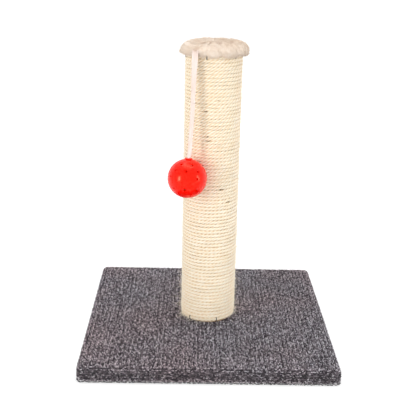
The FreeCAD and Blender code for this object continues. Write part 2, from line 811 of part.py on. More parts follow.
failed = []
for item in doc.Objects:
    if "Invalid" in item.State or "Error" in item.State:
        failed.append(item.Label)
for node, item in nodes.items():
    if item.Shape.isNull() or not item.Shape.isValid() or not item.Shape.Solids:
        failed.append(node)
if failed:
    raise RuntimeError("not built: " + ", ".join(failed))

for name, place in (("hang point", hang_point), ("ball centre", ball_centre)):
    print("%s: %.4f, %.4f, %.4f" % (name, place.x, place.y, place.z))
print("strap's tilt: %.3f degrees" % hang_tilt)
os.makedirs("parts", exist_ok=True)
for node, item in nodes.items():
    item.Shape.exportStep("parts/%s.step" % node)
    box_of_node = item.Shape.BoundBox
    print("%s: %d solids, %.0f mm3, z %.2f to %.2f" % (
        node, len(item.Shape.Solids), item.Shape.Volume, box_of_node.ZMin, box_of_node.ZMax))
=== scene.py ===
import json
import math

import bpy
import numpy as np
from mathutils import Matrix, Vector


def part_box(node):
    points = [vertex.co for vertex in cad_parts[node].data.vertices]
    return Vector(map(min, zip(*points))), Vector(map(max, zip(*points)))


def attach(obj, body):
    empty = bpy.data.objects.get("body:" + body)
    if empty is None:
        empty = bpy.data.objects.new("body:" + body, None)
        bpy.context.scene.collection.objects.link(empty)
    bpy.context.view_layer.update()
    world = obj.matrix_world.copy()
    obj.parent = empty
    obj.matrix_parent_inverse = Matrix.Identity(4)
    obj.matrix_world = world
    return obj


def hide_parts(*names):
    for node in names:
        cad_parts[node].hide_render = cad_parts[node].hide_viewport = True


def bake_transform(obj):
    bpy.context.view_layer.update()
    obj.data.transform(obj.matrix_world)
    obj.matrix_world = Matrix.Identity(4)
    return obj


# The looks of a cat scratching post: a carpeted base, a post wound with sisal rope, a plush
# cap and a red ball on a flat strap. Metres, +Z up, front at -Y. Directions round the post
# are in degrees from the front, positive towards +X.

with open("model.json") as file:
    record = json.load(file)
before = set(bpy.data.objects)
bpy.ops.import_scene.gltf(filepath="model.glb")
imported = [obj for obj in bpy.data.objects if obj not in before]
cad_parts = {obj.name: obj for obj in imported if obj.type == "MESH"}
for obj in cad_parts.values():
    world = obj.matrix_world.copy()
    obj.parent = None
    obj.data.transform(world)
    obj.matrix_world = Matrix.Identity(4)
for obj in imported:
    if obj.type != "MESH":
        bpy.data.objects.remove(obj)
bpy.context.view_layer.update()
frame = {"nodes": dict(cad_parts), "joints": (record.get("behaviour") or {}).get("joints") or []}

_, base_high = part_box("carpet_cover")
_, tube_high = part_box("post_tube")
cap_low, cap_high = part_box("plush_cap")
BASE_HALF = base_high.x
BASE_TOP = base_high.z
TUBE_RADIUS = tube_high.x
TUBE_TOP = tube_high.z
CAP_RADIUS = cap_high.x
UP = np.array([0.0, 0.0, 1.0])


# ---- geometry
def unit(vectors):
    return vectors / np.linalg.norm(vectors, axis=-1, keepdims=True)


def square_to(vectors, axis):
    """Unit vectors, with what lies along an axis taken out."""
    return unit(vectors - (vectors * axis).sum(-1, keepdims=True) * axis)


def towards(degrees):
    """The level direction at an angle round the post."""
    turn = math.radians(degrees)
    return np.array([math.sin(turn), -math.cos(turn), 0.0])


def round_post(radius, angle, height):
    """Points round the post's middle."""
    return np.stack([radius * np.sin(angle), -radius * np.cos(angle), height + 0 * angle], -1)


def turned_from(degrees, middle):
    """How far an angle is from another, the short way round."""
    return (degrees - middle + 180) % 360 - 180


def ripple(position, wavelengths, seed):
    """Smooth repeatable unevenness between about -1 and 1 along a line."""
    chance = np.random.default_rng(seed)
    total = np.zeros(np.shape(position))
    for wavelength in wavelengths:
        total = total + np.sin(2 * np.pi * (position / wavelength + chance.random()))
    return total / len(wavelengths)


def smooth_step(value):
    value = np.clip(value, 0, 1)
    return value * value * (3 - 2 * value)


def bell(offset, width):
    """A hump that is 1 at no offset."""
    return np.exp(-(offset / width) ** 2)


def distances(line):
    """How far along a line each of its points lies."""
    steps = np.linalg.norm(np.diff(line, axis=0), axis=1)
    return np.concatenate([[0], np.cumsum(steps)])


def read_line(line, wanted):
    """Points at distances along a line."""
    along = distances(line)
    return np.stack([np.interp(wanted, along, column) for column in line.T], -1)


def soften(line):
    """Round off a line's corners in place."""
    for _ in range(2):
        line[1:-1] = 0.25 * line[:-2] + 0.5 * line[1:-1] + 0.25 * line[2:]


def make_piece(name, points, faces, material):
    mesh = bpy.data.meshes.new(name)
    mesh.from_pydata(np.asarray(points, float).reshape(-1, 3).tolist(), [], faces)
    mesh.update()
    mesh.materials.append(material)
    mesh.polygons.foreach_set("use_smooth", np.ones(len(mesh.polygons), bool))
    piece = bpy.data.objects.new(name, mesh)
    bpy.context.scene.collection.objects.link(piece)
    return piece


def mark(piece, name, values):
    """Give each point of a piece a number or a vector that its material reads."""
    values = np.asarray(values, np.float32)
    if values.ndim == 1:
        attribute = piece.data.attributes.new(name, "FLOAT", "POINT")
        attribute.data.foreach_set("value", values)
    else:
        attribute = piece.data.attributes.new(name, "FLOAT_VECTOR", "POINT")
        attribute.data.foreach_set("vector", values.ravel())


def mark_rings(piece, name, *parts):
    """Give each point three numbers, which spread over a piece's rings and sides."""
    mark(piece, name, np.stack(np.broadcast_arrays(*parts), -1).reshape(-1, 3))


def skin_faces(rings, sides):
    """Quads between closed rings of points."""
    ring = np.arange(sides)
    following = np.roll(ring, -1)
    wall = np.stack([ring, following, sides + following, sides + ring], 1)
    return (np.arange(rings - 1)[:, None, None] * sides + wall).reshape(-1, 4)


def tube_faces(count, rings, sides):
    """Faces of many like tubes: their walls, and a cap at each end."""
    shift = (np.arange(count) * rings * sides)[:, None, None]
    walls = (skin_faces(rings, sides)[None] + shift).reshape(-1, 4)
    ring = np.arange(sides)
    caps = np.stack([ring[::-1], (rings - 1) * sides + ring])
    caps = (caps[None] + shift).reshape(-1, sides)
    return walls.tolist() + caps.tolist()


def tube_points(lines, radii, sides, reference):
    """Points of many like tubes. Lines has a row of points for each, and reference a
    direction across each."""
    ahead = unit(np.gradient(lines, axis=1))
    across = square_to(reference[:, None, :], ahead)
    other = np.cross(ahead, across)
    turn = 2 * np.pi * np.arange(sides) / sides
    ring = (np.cos(turn)[:, None] * across[:, :, None, :]
            + np.sin(turn)[:, None] * other[:, :, None, :])
    return lines[:, :, None, :] + radii[:, :, None, None] * ring


# ---- materials
# Where a colour mixing node has its sockets.
MIX_SHARE, MIX_FIRST, MIX_SECOND, MIX_RESULT = 0, 6, 7, 2
WHITE = (255, 255, 255)


def paint(red, green, blue):
    """A colour as it looks on a screen, 0 to 255, in the renderer's own scale."""
    linear = []
    for part in (red, green, blue):
        share = part / 255
        linear.append(share / 12.92 if share < 0.04045 else ((share + 0.055) / 1.055) ** 2.4)
    return (*linear, 1.0)


def node(tree, kind, sockets=None, **settings):
    """Add a node, set its settings, and set or link its sockets."""
    made = tree.nodes.new("ShaderNode" + kind)
    for name, value in settings.items():
        setattr(made, name, value)
    for name, value in (sockets or {}).items():
        if isinstance(value, bpy.types.NodeSocket):
            tree.links.new(value, made.inputs[name])
        else:
            made.inputs[name].default_value = value
    return made


def new_material(name, **shader_values):
    """A material, its node tree, and the object's coordinates for its patterns."""
    material = bpy.data.materials.new(name)
    material.use_nodes = True
    shader = material.node_tree.nodes["Principled BSDF"]
    for socket, value in shader_values.items():
        shader.inputs[socket.replace("_", " ")].default_value = value
    place = node(material.node_tree, "TexCoord").outputs["Object"]
    return material, material.node_tree, place


def marked(tree, name):
    return node(tree, "Attribute", attribute_name=name)


def stretched(tree, vector, scale):
    return node(tree, "Mapping", {"Vector": vector, "Scale": scale}).outputs["Vector"]


def noise(tree, vector, scale, detail=3.0, roughness=0.55):
    sockets = {"Vector": vector, "Scale": scale, "Detail": detail, "Roughness": roughness}
    return node(tree, "TexNoise", sockets).outputs["Fac"]


def ramp(tree, value, *stops):
    """Colours over a 0 to 1 value. A stop is its place and its colour's three parts."""
    made = node(tree, "ValToRGB", {"Fac": value})
    band = made.color_ramp
    while len(band.elements) < len(stops):
        band.elements.new(0.5)
    for element, (place, *colour) in zip(band.elements, stops):
        element.position = place
        element.color = paint(*colour)
    return made.outputs["Color"]


def multiply(tree, share, first, second):
    """Darken a colour by another, as far as a share says."""
    sockets = {MIX_SHARE: share, MIX_FIRST: first, MIX_SECOND: second}
    made = node(tree, "Mix", sockets, data_type="RGBA", blend_type="MULTIPLY")
    return made.outputs[MIX_RESULT]


def span(tree, value, low, high):
    """Spread a 0 to 1 value between two numbers."""
    sockets = {"Value": value, "To Min": low, "To Max": high}
    return node(tree, "MapRange", sockets).outputs["Result"]


def finish(material, colour, grain, low, high, strength, depth, relief=None):
    """Link a material's colour, its roughness between two numbers, and a bump. One grain
    drives both, unless the bump has a relief of its own."""
    tree = material.node_tree
    sockets = {"Height": relief or grain, "Strength": strength, "Distance": depth}
    normal = node(tree, "Bump", sockets).outputs["Normal"]
    roughness = span(tree, grain, low, high)
    inputs = tree.nodes["Principled BSDF"].inputs
    for socket, value in (("Base Color", colour), ("Roughness", roughness), ("Normal", normal)):
        tree.links.new(value, inputs[socket])
    return material


def sisal_material():
    """Twisted plant fibre: pale cream strands with tan streaks along them, and painted shade in
    the grooves between strands and in the gaps between turns.
    """
    material, tree, place = new_material("sisal", Specular_IOR_Level=0.25)
    lay = marked(tree, "lay").outputs["Vector"]
    fibre = noise(tree, stretched(tree, lay, (1, 1, 0.07)), 3200, 4, 0.62)
    patch = noise(tree, place, 90)
    streak = noise(tree, stretched(tree, lay, (1, 1, 0.03)), 900, 2)
    groove_shade = marked(tree, "groove_shade").outputs["Fac"]
    pale = ramp(tree, fibre, (0.28, 243, 228, 200), (0.46, 254, 248, 235),
                (0.7, 255, 253, 247))
    warm = ramp(tree, streak, (0.3, 250, 240, 220), (0.62, 255, 254, 251))
    mottled = ramp(tree, patch, (0.3, 254, 246, 234), (0.7, 255, 254, 252))
    # shaded is painted shade, darker and tanner in the rope's grooves.
    shaded = ramp(tree, groove_shade, (0.2, *WHITE), (1.0, 232, 204, 160))
    colour = multiply(tree, 0.6, pale, warm)
    colour = multiply(tree, 0.6, colour, mottled)
    colour = multiply(tree, 0.8, colour, shaded)
    return finish(material, colour, fibre, 0.62, 0.9, 0.55, 0.0003)


def yarn_material():
    """Loop pile: each loop has its own grey, from charcoal to pale, and the rows round the base
    carry painted shade in their greys.
    """
    material, tree, place = new_material("carpet_yarn", Specular_IOR_Level=0.15,
                                          Sheen_Weight=0.15)
    tone = marked(tree, "tone").outputs["Fac"]
    ply = noise(tree, place, 1050, 3, 0.7)
    loop = ramp(tree, tone, (0.0, 60, 56, 60), (0.35, 124, 116, 120),
                (0.7, 194, 184, 189), (1.0, 255, 249, 252))
    worn = ramp(tree, ply, (0.36, 120, 115, 118), (0.6, *WHITE))
    wide = noise(tree, place, 9, 2)
    tint = ramp(tree, wide, (0.35, 255, 242, 244), (0.65, 242, 246, 252))
    colour = multiply(tree, 0.8, loop, worn)
    colour = multiply(tree, 0.8, colour, tint)
    return finish(material, colour, ply, 0.78, 0.96, 0.6, 0.0004)


def backing_material():
    """The carpet's ground between its loops, and its raw edge under the base."""
    material, tree, place = new_material("carpet_backing", Specular_IOR_Level=0.1)
    grain = noise(tree, place, 900, 4, 0.65)
    rows = noise(tree, stretched(tree, place, (1, 0.25, 1)), 260, 3)
    fleck = ramp(tree, grain, (0.35, 44, 41, 45), (0.52, 84, 79, 84),
                 (0.7, 140, 133, 138))
    shade = ramp(tree, rows, (0.35, 170, 164, 170), (0.6, *WHITE))
    colour = multiply(tree, 0.9, fleck, shade)
    return finish(material, colour, grain, 0.85, 1.0, 0.9, 0.0008)


def plush_material():
    """Soft pale plush, pinkish beige, with painted shade in its creases: darker and browner
    there.
    """
    material, tree, place = new_material(
        "plush", Specular_IOR_Level=0.12, Sheen_Weight=0.2, Sheen_Roughness=0.5,
        Sheen_Tint=paint(255, 244, 238))
    hair = noise(tree, stretched(tree, place, (1, 1, 0.4)), 900, 4, 0.6)
    patch = noise(tree, place, 85)
    tone = marked(tree, "tone").outputs["Fac"]
    pale = ramp(tree, hair, (0.3, 237, 223, 209), (0.55, 247, 237, 226),
                (0.75, 252, 245, 237))
    mottled = ramp(tree, patch, (0.32, 246, 236, 224), (0.62, 255, 252, 248))
    # Painted shade: darker and browner in the creases.
    crease_shade = ramp(tree, tone, (0.0, 190, 158, 138), (0.75, *WHITE))
    colour = multiply(tree, 0.7, pale, mottled)
    colour = multiply(tree, 0.8, colour, crease_shade)
    return finish(material, colour, hair, 0.8, 0.96, 0.5, 0.0006)


def elastic_material():
    """Flat woven elastic: pale, with a fine weft across its cords."""
    material, tree, _ = new_material("elastic", Specular_IOR_Level=0.3,
                                          Sheen_Weight=0.2)
    weave = marked(tree, "weave").outputs["Vector"]
    weft = node(tree, "TexWave", {"Vector": weave, "Scale": 420.0, "Distortion": 1.4,
                                  "Detail": 2.0, "Detail Scale": 3.0},
                bands_direction="Y").outputs["Fac"]
    fluff = noise(tree, weave, 2400, 3)
    soft = noise(tree, stretched(tree, weave, (1, 0.2, 1)), 260, 2)
    colour = ramp(tree, weft, (0.1, 240, 222, 213), (0.6, 254, 241, 234))
    shade = ramp(tree, soft, (0.35, 246, 236, 230), (0.65, *WHITE))
    colour = multiply(tree, 0.7, colour, shade)
    return finish(material, colour, fluff, 0.6, 0.85, 0.6, 0.0002, weft)


def ball_material():
    """Satin red moulded plastic, thin enough to let a little light through, with a faint painted
    glow.
    """
    # The emission is a painted glow: the plastic shines faintly red of itself, though it is no
    # lamp.
    material, tree, place = new_material(
        "red_plastic", Specular_IOR_Level=0.3, Specular_Tint=(1.0, 0.85, 0.5, 1.0),
        Subsurface_Weight=0.7, Subsurface_Radius=(1.0, 0.1, 0.06), Subsurface_Scale=0.004,
        Emission_Color=paint(255, 24, 0), Emission_Strength=0.12)
    cloud = noise(tree, place, 60)
    grain = noise(tree, place, 1500)
    scuff = noise(tree, stretched(tree, place, (1, 1, 0.2)), 240, 4, 0.7)
    colour = ramp(tree, cloud, (0.3, 240, 4, 0), (0.7, 250, 12, 0))
    marks = ramp(tree, scuff, (0.62, *WHITE), (0.78, 255, 214, 206))
    colour = multiply(tree, 0.5, colour, marks)
    return finish(material, colour, grain, 0.16, 0.26, 0.08, 0.0002)


def metal_material(name, dark, light, low, high, scale=400, metallic=0.9):
    """Bare, plated or lacquered metal with drawn streaks and uneven shine."""
    material, tree, place = new_material(name, Metallic=metallic)
    streak = noise(tree, stretched(tree, place, (1, 1, 0.15)), scale, 4, 0.6)
    stain = noise(tree, place, scale / 5, 3)
    colour = ramp(tree, stain, (0.3, *dark), (0.65, *light))
    return finish(material, colour, streak, low, high, 0.25, 0.0001)


def board_material():
    """Particle board: pressed chips of many browns."""
    material, tree, place = new_material("board", Specular_IOR_Level=0.3)
    chips = node(tree, "TexVoronoi", {"Vector": stretched(tree, place, (1, 0.45, 1)),
                                      "Scale": 260.0, "Randomness": 1.0})
    grain = noise(tree, place, 700, 4, 0.65)
    shade = node(tree, "SeparateColor", {"Color": chips.outputs["Color"]}).outputs["Red"]
    chip = ramp(tree, shade, (0.0, 150, 112, 70), (0.4, 190, 154, 106),
                (0.8, 214, 182, 134), (1.0, 232, 206, 162))
    dust = ramp(tree, grain, (0.3, 196, 180, 160), (0.6, *WHITE))
    colour = multiply(tree, 0.8, chip, dust)
    return finish(material, colour, grain, 0.65, 0.9, 0.5, 0.0004)


def plug_material():
    """Turned pine with its rings across."""
    material, tree, place = new_material("plug_wood", Specular_IOR_Level=0.3)
    rings = node(tree, "TexWave", {"Vector": place, "Scale": 60.0, "Distortion": 3.5,
                                   "Detail": 3.0, "Detail Scale": 1.2},
                 bands_direction="X").outputs["Fac"]
    pores = noise(tree, stretched(tree, place, (1, 0.1, 1)), 900, 4)
    wood = ramp(tree, rings, (0.1, 196, 154, 98), (0.7, 228, 194, 142))
    dots = ramp(tree, pores, (0.35, 210, 190, 160), (0.6, *WHITE))
    colour = multiply(tree, 0.8, wood, dots)
    return finish(material, colour, pores, 0.55, 0.8, 0.4, 0.0002)


def card_material():
    """Grey-brown spiral-wound cardboard."""
    material, tree, place = new_material("tube_card", Specular_IOR_Level=0.2)
    fibre = noise(tree, stretched(tree, place, (1, 1, 0.3)), 700, 5, 0.65)
    cloud = noise(tree, place, 60)
    card = ramp(tree, fibre, (0.3, 146, 116, 82), (0.65, 190, 158, 116))
    shade = ramp(tree, cloud, (0.3, 224, 214, 200), (0.7, *WHITE))
    colour = multiply(tree, 0.8, card, shade)
    return finish(material, colour, fibre, 0.75, 0.95, 0.3, 0.0002)


def foam_material():
    """Yellowish open foam with small cells."""
    material, tree, place = new_material("foam", Specular_IOR_Level=0.1)
    cells = node(tree, "TexVoronoi", {"Vector": place, "Scale": 1100.0}).outputs["Distance"]
    cloud = noise(tree, place, 120)
    foam = ramp(tree, cells, (0.05, 206, 190, 128), (0.5, 244, 234, 190))
    shade = ramp(tree, cloud, (0.3, 236, 228, 210), (0.7, *WHITE))
    colour = multiply(tree, 0.8, foam, shade)
    return finish(material, colour, cloud, 0.85, 1.0, 0.6, 0.0003, cells)


sisal = sisal_material()
yarn = yarn_material()
backing = backing_material()
plush = plush_material()
elastic = elastic_material()
red_plastic = ball_material()
staple_steel = metal_material("staple_steel", (150, 148, 144), (196, 194, 190), 0.3, 0.55)
dark_staple = metal_material("dark_staple", (20, 18, 16), (58, 52, 48), 0.5, 0.8, 900, 0.35)
zinc_steel = metal_material("zinc_steel", (166, 168, 164), (214, 214, 208), 0.28, 0.5)
bell_metal = metal_material("bell_metal", (168, 140, 74), (220, 196, 128), 0.2, 0.42)
board_wood = board_material()
plug_wood = plug_material()
tube_card = card_material()
foam = foam_material()


# ---- camera and lights
CAMERA_PLACE = Vector((-0.0252, -0.9648, 0.4795))
CAMERA_PITCH = math.radians(18.3)
CAMERA_YAW = math.radians(1.34)
CAMERA_ROLL = math.radians(1.44)
CAMERA_SENSOR = 36.0
CAMERA_LENS = 70.83
ROOM_LIGHT = 0.75
FLOOR_HALF = 12
FLOOR_GLOW = 0.5
FAR_FLOOR_GLOW = 0.75
GLOW_NEAR = 0.3
GLOW_FAR = 1.2
# Each lamp's name, place, aim, width, height, power, and whether gloss shows it. The front
# lamp fills the shade and gives the ball no third bright spot.
LAMPS = (("left_softbox", (-1.35, -1.27, 0.5), (0, 0, 0.15), 0.28, 0.6, 10, True),
         ("right_softbox", (1.6, -0.7, 0.45), (0, 0, 0.15), 0.22, 0.65, 6.3, True),
         ("top_softbox", (0.1, 0.2, 1.7), (0, 0, 0.1), 1.2, 1.2, 11, True),
         ("front_softbox", (-0.1, -1.7, 0.3), (0, 0, 0.1), 1.4, 0.9, 7.6, False))


def add_object(name, data):
    made = bpy.data.objects.new(name, data)
    bpy.context.scene.collection.objects.link(made)
    return made


def make_camera():
    ahead = Vector((math.sin(CAMERA_YAW) * math.cos(CAMERA_PITCH),
                    math.cos(CAMERA_YAW) * math.cos(CAMERA_PITCH), -math.sin(CAMERA_PITCH)))
    level = Vector((math.cos(CAMERA_YAW), -math.sin(CAMERA_YAW), 0))
    above = level.cross(ahead)
    right = math.cos(CAMERA_ROLL) * level + math.sin(CAMERA_ROLL) * above
    up = math.cos(CAMERA_ROLL) * above - math.sin(CAMERA_ROLL) * level
    data = bpy.data.cameras.new("camera")
    data.lens = CAMERA_LENS
    data.sensor_width = CAMERA_SENSOR
    data.clip_start = 0.05
    data.clip_end = 60
    camera = add_object("camera", data)
    turned = Matrix((right, up, -ahead)).transposed().to_4x4()
    camera.matrix_world = Matrix.Translation(CAMERA_PLACE) @ turned
    bpy.context.scene.camera = camera


def make_lamp(name, place, aim, width, height, power, in_gloss):
    data = bpy.data.lights.new(name, "AREA")
    data.shape = "RECTANGLE"
    data.size = width
    data.size_y = height
    data.energy = power
    lamp = add_object(name, data)
    facing = (Vector(place) - Vector(aim)).to_track_quat("Z", "Y").to_matrix().to_4x4()
    lamp.matrix_world = Matrix.Translation(place) @ facing
    lamp.visible_glossy = in_gloss


def seen_share(tree):
    """1 for what the camera sees straight, in a mirror or through glass, and 0 for light."""
    path = node(tree, "LightPath")
    total = node(tree, "Math", {0: path.outputs["Is Camera Ray"],
                                1: path.outputs["Is Glossy Ray"]}, operation="MAXIMUM")
    return node(tree, "Math", {0: total.outputs[0], 1: path.outputs["Is Transmission Ray"]},
                operation="MAXIMUM").outputs[0]


def make_world():
    world = bpy.data.worlds.new("studio")
    bpy.context.scene.world = world
    world.use_nodes = True
    tree = world.node_tree
    background = tree.nodes["Background"]
    strength = span(tree, seen_share(tree), ROOM_LIGHT, 1.0)
    tree.links.new(strength, background.inputs["Strength"])
    background.inputs["Color"].default_value = (1, 1, 1, 1)


def make_floor():
    """Grey paper that shows white, because it glows for the eye alone."""
    material, tree, place = new_material("white_floor", Specular_IOR_Level=0.0, Roughness=1.0)
    shader = tree.nodes["Principled BSDF"]
    paper = ramp(tree, noise(tree, place, 3, 2), (0.3, 199, 199, 199), (0.7, 202, 202, 202))
    tree.links.new(paper, shader.inputs["Base Color"])
    distance = node(tree, "VectorMath", {0: place}, operation="LENGTH").outputs["Value"]
    strength = node(tree, "MapRange", {"Value": distance, "From Min": GLOW_NEAR,
                                       "From Max": GLOW_FAR, "To Min": FLOOR_GLOW,
                                       "To Max": FAR_FLOOR_GLOW})
    seen = node(tree, "Math", {0: seen_share(tree), 1: strength.outputs["Result"]},
                operation="MULTIPLY")
    glow = node(tree, "Emission", {"Color": (1, 1, 1, 1), "Strength": seen.outputs[0]})
    both = node(tree, "AddShader")
    tree.links.new(shader.outputs["BSDF"], both.inputs[0])
    tree.links.new(glow.outputs["Emission"], both.inputs[1])
    tree.links.new(both.outputs["Shader"], tree.nodes["Material Output"].inputs["Surface"])
    corners = [(FLOOR_HALF * x, FLOOR_HALF * y, 0)
               for x, y in ((-1, -1), (1, -1), (1, 1), (-1, 1))]
    make_piece("floor", corners, [(0, 1, 2, 3)], material)


make_camera()
make_world()
make_floor()
for lamp_facts in LAMPS:
    make_lamp(*lamp_facts)
bpy.context.scene.view_settings.view_transform = "Standard"


# ---- strap
STRAP_WIDTH = 0.008
STRAP_THICKNESS = 0.0012
STRAP_LENGTH = 0.1227
STRAP_RIBS = 9
UPPER_SHARE = 0.060
HANG_DEGREES = -30
TWIST_DEGREES = 26
TWIST_HASTE = 2.4
CURL_FROM = 0.098
CURL_TURN = 3.4
RING_STEP = 0.0012
POINTS_PER_RIB = 4
# How thick the strap is between its ribs and at its edges, of its full thickness.
VALLEY_SHARE = 0.62
EDGE_SHARE = 0.35
# The strap's route: how far down it, and how far to the right, in millimetres.
STRAP_ROUTE = ((0, -1.2), (16, -1.1), (32, -0.6), (50, 0.1), (70, 0.7), (90, 0.8), (108, 0.4),
               (122.7, 0))
MILLIMETRE = 0.001


def joint_named(name):
    return next(joint for joint in frame["joints"] if joint["name"] == name)


hang_point = np.array(joint_named("strap_swing_out")["pos_m"])
ball_centre = np.array(joint_named("ball_spin")["pos_m"])
strap_down = unit(ball_centre - hang_point)


def smooth_line(points):
    """Many points read from the NURBS spline that runs by a few."""
    curve = bpy.data.curves.new("route", "CURVE")
    curve.dimensions = "3D"
    curve.resolution_u = 24
    spline = curve.splines.new("NURBS")
    spline.points.add(len(points) - 1)
    for knot, place in zip(spline.points, points):
        knot.co = (*place, 1)
    spline.order_u = 3
    spline.use_endpoint_u = True
    holder = bpy.data.objects.new("route", curve)
    mesh = bpy.data.meshes.new_from_object(holder)
    line = np.array([vertex.co for vertex in mesh.vertices])
    bpy.data.objects.remove(holder)
    bpy.data.meshes.remove(mesh)
    bpy.data.curves.remove(curve)
    return line


strap_out = square_to(towards(HANG_DEGREES), strap_down)
strap_side = np.cross(strap_out, strap_down)
strap_line = smooth_line([hang_point + MILLIMETRE * (down * strap_down + right * strap_side)
                          for down, right in STRAP_ROUTE])


def strap_frames(along):
    """The strap's centre, its width's direction and its outer side's, at places along it."""
    share = along / STRAP_LENGTH
    centre = read_line(strap_line, share * distances(strap_line)[-1])
    turn = np.radians(TWIST_DEGREES) * smooth_step(share * TWIST_HASTE)[:, None]
    wide = np.cos(turn) * strap_side + np.sin(turn) * strap_out
    face = np.cos(turn) * strap_out - np.sin(turn) * strap_side
    return centre, wide, face


def strap_section():
    """Places across the strap and off its middle: a front of cords, and a back."""
    count = STRAP_RIBS * POINTS_PER_RIB
    share = (np.arange(count + 1) - count / 2) / count
    swell = np.abs(np.sin(np.pi * STRAP_RIBS * (share + 0.5)))
    edge = np.sqrt(np.clip(1 - (2 * share) ** 8, 0, 1))
    half = (STRAP_THICKNESS / 2 * (VALLEY_SHARE + (1 - VALLEY_SHARE) * swell)
            * (EDGE_SHARE + (1 - EDGE_SHARE) * edge))
    across = share * STRAP_WIDTH
    return np.concatenate([across[::-1], across]), np.concatenate([half[::-1], -half])


def make_band(name, centre, wide, face, along, bend):
    """A ribbed band along a line, with its edges curled back by a bend across it."""
    across, off = strap_section()
    bend = np.maximum(bend, 1e-3)[:, None]
    reach = 1 / bend + off[None]
    side = reach * np.sin(across[None] * bend)
    half = STRAP_WIDTH / 2 * bend
    out = reach * np.cos(across[None] * bend) - np.sin(half) / half / bend
    points = (centre[:, None] + side[:, :, None] * wide[:, None]
              + out[:, :, None] * face[:, None])
    piece = make_piece(name, points, tube_faces(1, len(along), len(across)), elastic)
    mark_rings(piece, "weave", across[None], along[:, None], off[None])
    return piece


def make_strap_piece(name, start, end):
    """A free stretch of the strap, which curls as it nears the ball."""
    along = np.linspace(start, end, int(round((end - start) / RING_STEP)) + 1)
    centre, wide, face = strap_frames(along)
    curl = smooth_step((along - CURL_FROM) / (STRAP_LENGTH - CURL_FROM))
    piece = make_band(name, centre, wide, face, along, CURL_TURN * curl / STRAP_WIDTH)
    return piece, centre


def make_straps():
    upper, _ = make_strap_piece("strap_upper_band", 0.0, UPPER_SHARE)
    lower, lower_line = make_strap_piece("strap_lower_band", UPPER_SHARE, STRAP_LENGTH)
    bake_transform(upper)
    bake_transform(lower)
    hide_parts("strap_upper")
    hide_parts("strap_lower")


TAB_ROOT = 0.0122
TAB_RISE = 0.0007
FOLD_RADIUS = 0.0010
# The tab drifts aside over a stretch, to meet the strap's route.
DRIFT_FROM = 0.030
DRIFT_OVER = 0.010


def make_tab():
    """The strap's fixed end: flat on the post's plug, then folded down over its edge."""
    outward = towards(HANG_DEGREES)
    sideways = np.cross(outward, -UP)
    fold = np.linalg.norm(hang_point[:2]) - FOLD_RADIUS
    straight = np.linspace(TAB_ROOT, fold, 26)
    turn = np.linspace(0, math.pi / 2, 7)[1:]
    lean = np.concatenate([0 * straight, turn])
    reach = np.concatenate([straight, fold + FOLD_RADIUS * np.sin(turn)])
    level = TUBE_TOP + TAB_RISE - FOLD_RADIUS * (1 - np.cos(lean))
    aside = MILLIMETRE * STRAP_ROUTE[0][1] * smooth_step((reach - DRIFT_FROM) / DRIFT_OVER)
    centre = reach[:, None] * outward + level[:, None] * UP + aside[:, None] * sideways
    face = np.cos(lean)[:, None] * UP + np.sin(lean)[:, None] * outward
    wide = np.broadcast_to(sideways, centre.shape)
    tab = make_band("strap_tab_band", centre, wide, face, reach, 0 * reach)
    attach(tab, "root")
    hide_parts("strap_tab")


ROLL_RADIUS = 0.0023
KNOT_SIZE = 0.0021
KNOT_SIDES = 20
ROLL_STEPS = 16
BEND_STEPS = 8
KNOT_STEPS = 84
ROLL_LAP = 0.0004
# The knot's middle above its lowest point, and the roll's end above that, in knot sizes.
KNOT_RISE = 3.4
ROLL_RISE = 2.6
KNOT_CORD_SHARE = 0.82
RIDGE_DEPTH = 0.07


def make_knot():
    """The strap's end: rolled through the ball's hole, and tied in a knot under it."""
    top = hang_point + (STRAP_LENGTH - ROLL_LAP) * strap_down
    knot_low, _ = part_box("strap_knot")
    length = (top[2] - knot_low.z) / -strap_down[2]
    centre = top + (length - KNOT_RISE * KNOT_SIZE) * strap_down
    side = unit(np.cross(strap_down, np.array([0, 1.0, 0])))
    front = np.cross(side, strap_down)
    turn = np.linspace(-0.30, 2 * math.pi - 0.75, KNOT_STEPS)[:, None]
    ring = KNOT_SIZE * (2.0 + np.cos(1.5 * turn)) / 1.6
    loop = (centre + ring * np.cos(turn) * side + ring * np.sin(turn) * front
            + 1.2 * KNOT_SIZE * np.sin(1.5 * turn) * strap_down)
    share = np.linspace(0, 1, ROLL_STEPS, endpoint=False)[:, None]
    middle = centre - ROLL_RISE * KNOT_SIZE * strap_down
    roll = top + share * (middle - top)
    join = smooth_step(np.linspace(0, 1, BEND_STEPS, endpoint=False))[:, None]
    bend = (1 - join) * middle + join * loop[0] + 0.5 * np.sin(np.pi * join) * KNOT_SIZE * side
    line = np.concatenate([roll, bend, loop])
    soften(line)
    steps = len(line)
    radii = ROLL_RADIUS * np.where(np.arange(steps) < ROLL_STEPS, 1, KNOT_CORD_SHARE)
    points = tube_points(line[None], radii[None], KNOT_SIDES, side[None])[0]
    ridge = 1 - RIDGE_DEPTH * (np.arange(KNOT_SIDES) % 2)
    points = line[:, None] + ridge[None, :, None] * (points - line[:, None])
    knot = make_piece("strap_knot_band", points, tube_faces(1, steps, KNOT_SIDES), elastic)
    around = np.arange(KNOT_SIDES) / KNOT_SIDES * STRAP_WIDTH
    mark_rings(knot, "weave", around[None], MILLIMETRE * np.arange(steps)[:, None], 0.0)
    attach(knot, "strap_end")
    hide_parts("strap_knot")


make_straps()
make_tab()
make_knot()


